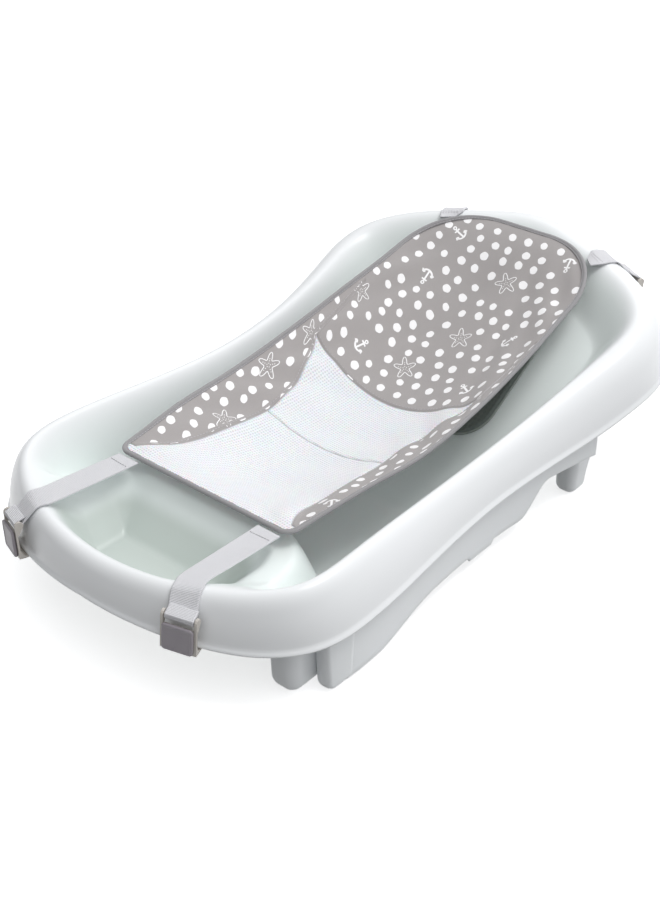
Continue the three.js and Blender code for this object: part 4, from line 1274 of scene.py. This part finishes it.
def straps():
    half = STRAP_WIDTH / 2
    foot_x = SLING_FOOT - STRAP_START - 2 * GAP
    foot_start = np.array([foot_x, -FOOT_STRAP_Y, float(sling_height(SLING_FOOT)) - 1])
    corner = math.sqrt(0.5) * HEAD_CORNER
    away = (STRAP_START + 3 * GAP) * math.sqrt(0.5)
    x = SLING_HEAD - HEAD_CORNER + corner
    y = HEAD_CORNER - corner - float(sling_side(x))
    head_start = np.array([x + away, y - away, float(sling_height(x)) + 0.6])
    straight, diagonal = np.array([0.0, 1, 0]), unit(np.array([1.0, 1, 0]))
    foot = strap_stations(FOOT_CLIP, foot_start, straight, half, FOOT_STRAP_INBOARD)
    head_half = half - HEAD_STRAP_TAPER / 2
    head = strap_stations(HEAD_CLIP, head_start, diagonal, head_half, HEAD_STRAP_INBOARD)
    for side, name in SIDES:
        strap(f"foot_strap_{name}", side, foot)
        strap(f"head_strap_{name}", side, head)


def clip_plate(name, t, side, body):
    """The grey plate on the hook's front: rounded corners, a bevelled rim and a shallow inset face."""
    clip = ClipFrame(t)
    width, height, depth, corner = 29.0, 27.5, 3.0, 3.2
    back = BAR_OUT + HOOK_BACK + HOOK_PLATE + GAP
    middle_up = BAR_HEIGHT - CLIP_DROP
    section = [  # inset from the outline, and distance out from the back
        (0.5, 0.0), (0.0, 0.35), (0.0, depth - 1.3), (0.35, depth - 0.5), (1.0, depth - 0.05), (1.7, depth),
        (2.3, depth - 0.12), (2.9, depth - 0.5), (3.6, depth - 0.6), (5.0, depth - 0.55), (8.0, depth - 0.5),
    ]
    rings = []
    for inset, out in section:
        outline = rounded_outline(width - 2 * inset, height - 2 * inset, max(corner - inset, 1.2), 7)
        rings.append([clip.place(back + out, middle_up + up, along) for along, up in outline])
    finish_piece(solid(f"{name}_cover", rings, plate_plastic, side), "clip", name, body=body)


def clips():
    for end, t in (("foot", FOOT_CLIP), ("head", HEAD_CLIP)):
        for side, name in SIDES:
            clip_plate(f"{end}_clip_plate_{name}", t, side, f"{end}_clip_{name}")
            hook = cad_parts[f"{end}_rim_hook_{name}"]
            hook.data.materials.clear()
            hook.data.materials.append(hook_plastic)
            rounded = hook.modifiers.new("Bevel", "BEVEL")
            rounded.width = 0.35 * MM
            rounded.segments = 2
            rounded.limit_method = "ANGLE"
            rounded.angle_limit = math.radians(35)


# ---- Stage ----

FLOOR_SIZE = 30000
FLOOR_DROP = 0.4
SKY_LOW, SKY_HIGH = 0.13, 0.99
SKY_LEAN = (0.45, -0.3, 0.84)  # the studio's light is brightest overhead, towards the head and the right side
SKY_COLOUR = (0.98, 0.99, 1.0, 1)
LAMPS = [  # name, place in metres, size and power
    ("key", (0.35, -0.8, 2.1), (0.9, 0.7), 16), ("top", (1.1, 0.2, 1.8), (1.6, 1.2), 4),
]
LAMPS_AIM = (0, 0, 0.1)
CAMERA_AIM = (-0.0723, -0.0316, 0.090)
CAMERA_AZIMUTH, CAMERA_ELEVATION, CAMERA_DISTANCE = math.radians(-49.33), math.radians(32.36), 1.373
LENS = 56.0


def place_facing(name, data, place, forward):
    obj = bpy.data.objects.new(name, data)
    obj.location = place
    obj.rotation_euler = forward.to_track_quat("-Z", "Y").to_euler()
    bpy.context.collection.objects.link(obj)
    return obj


def stage():
    size, z = FLOOR_SIZE, -FLOOR_DROP
    corners = [(-size, -size, z), (size, -size, z), (size, size, z), (-size, size, z)]
    floor = add_mesh("floor", corners, [(0, 1, 2, 3)], pale_floor())
    floor.visible_diffuse = False

    world = bpy.data.worlds.new("studio")
    world.use_nodes = True
    nodes, links = world.node_tree.nodes, world.node_tree.links
    towards = nodes.new("ShaderNodeVectorMath")
    towards.operation = "DOT_PRODUCT"
    towards.inputs[1].default_value = SKY_LEAN
    sky = nodes.new("ShaderNodeMapRange")
    for socket, value in zip(sky.inputs[1:5], (-0.5, 1.0, SKY_LOW, SKY_HIGH)):
        socket.default_value = value
    links.new(nodes.new("ShaderNodeTexCoord").outputs["Generated"], towards.inputs[0])
    links.new(towards.outputs["Value"], sky.inputs[0])
    links.new(sky.outputs[0], nodes["Background"].inputs[1])
    nodes["Background"].inputs[0].default_value = SKY_COLOUR
    bpy.context.scene.world = world

    for name, place, size, power in LAMPS:
        light = bpy.data.lights.new(name, "AREA")
        light.shape = "RECTANGLE"
        light.size, light.size_y = size
        light.energy = power
        place_facing(name, light, place, Vector(LAMPS_AIM) - Vector(place))

    camera = bpy.data.cameras.new("camera")
    camera.lens = LENS
    camera.sensor_width = 36
    camera.clip_start, camera.clip_end = 0.05, 50
    level = math.cos(CAMERA_ELEVATION)
    back = Vector(
        (math.sin(CAMERA_AZIMUTH) * level, -math.cos(CAMERA_AZIMUTH) * level, math.sin(CAMERA_ELEVATION))
    )
    eye = place_facing("camera", camera, Vector(CAMERA_AIM) + back * CAMERA_DISTANCE, -back)
    bpy.context.scene.camera = eye
    bpy.context.scene.view_settings.view_transform = "Standard"


# ---- Assembly ----

tub_shell()
for side, name in SIDES:
    skirt(side, name)
    for index in range(len(LEGS)):
        leg(index, side, name)
drain_plug()
back_pad()
sling_panels()
seams_and_stitching()
binding()
prints()
straps()
clips()
stage()
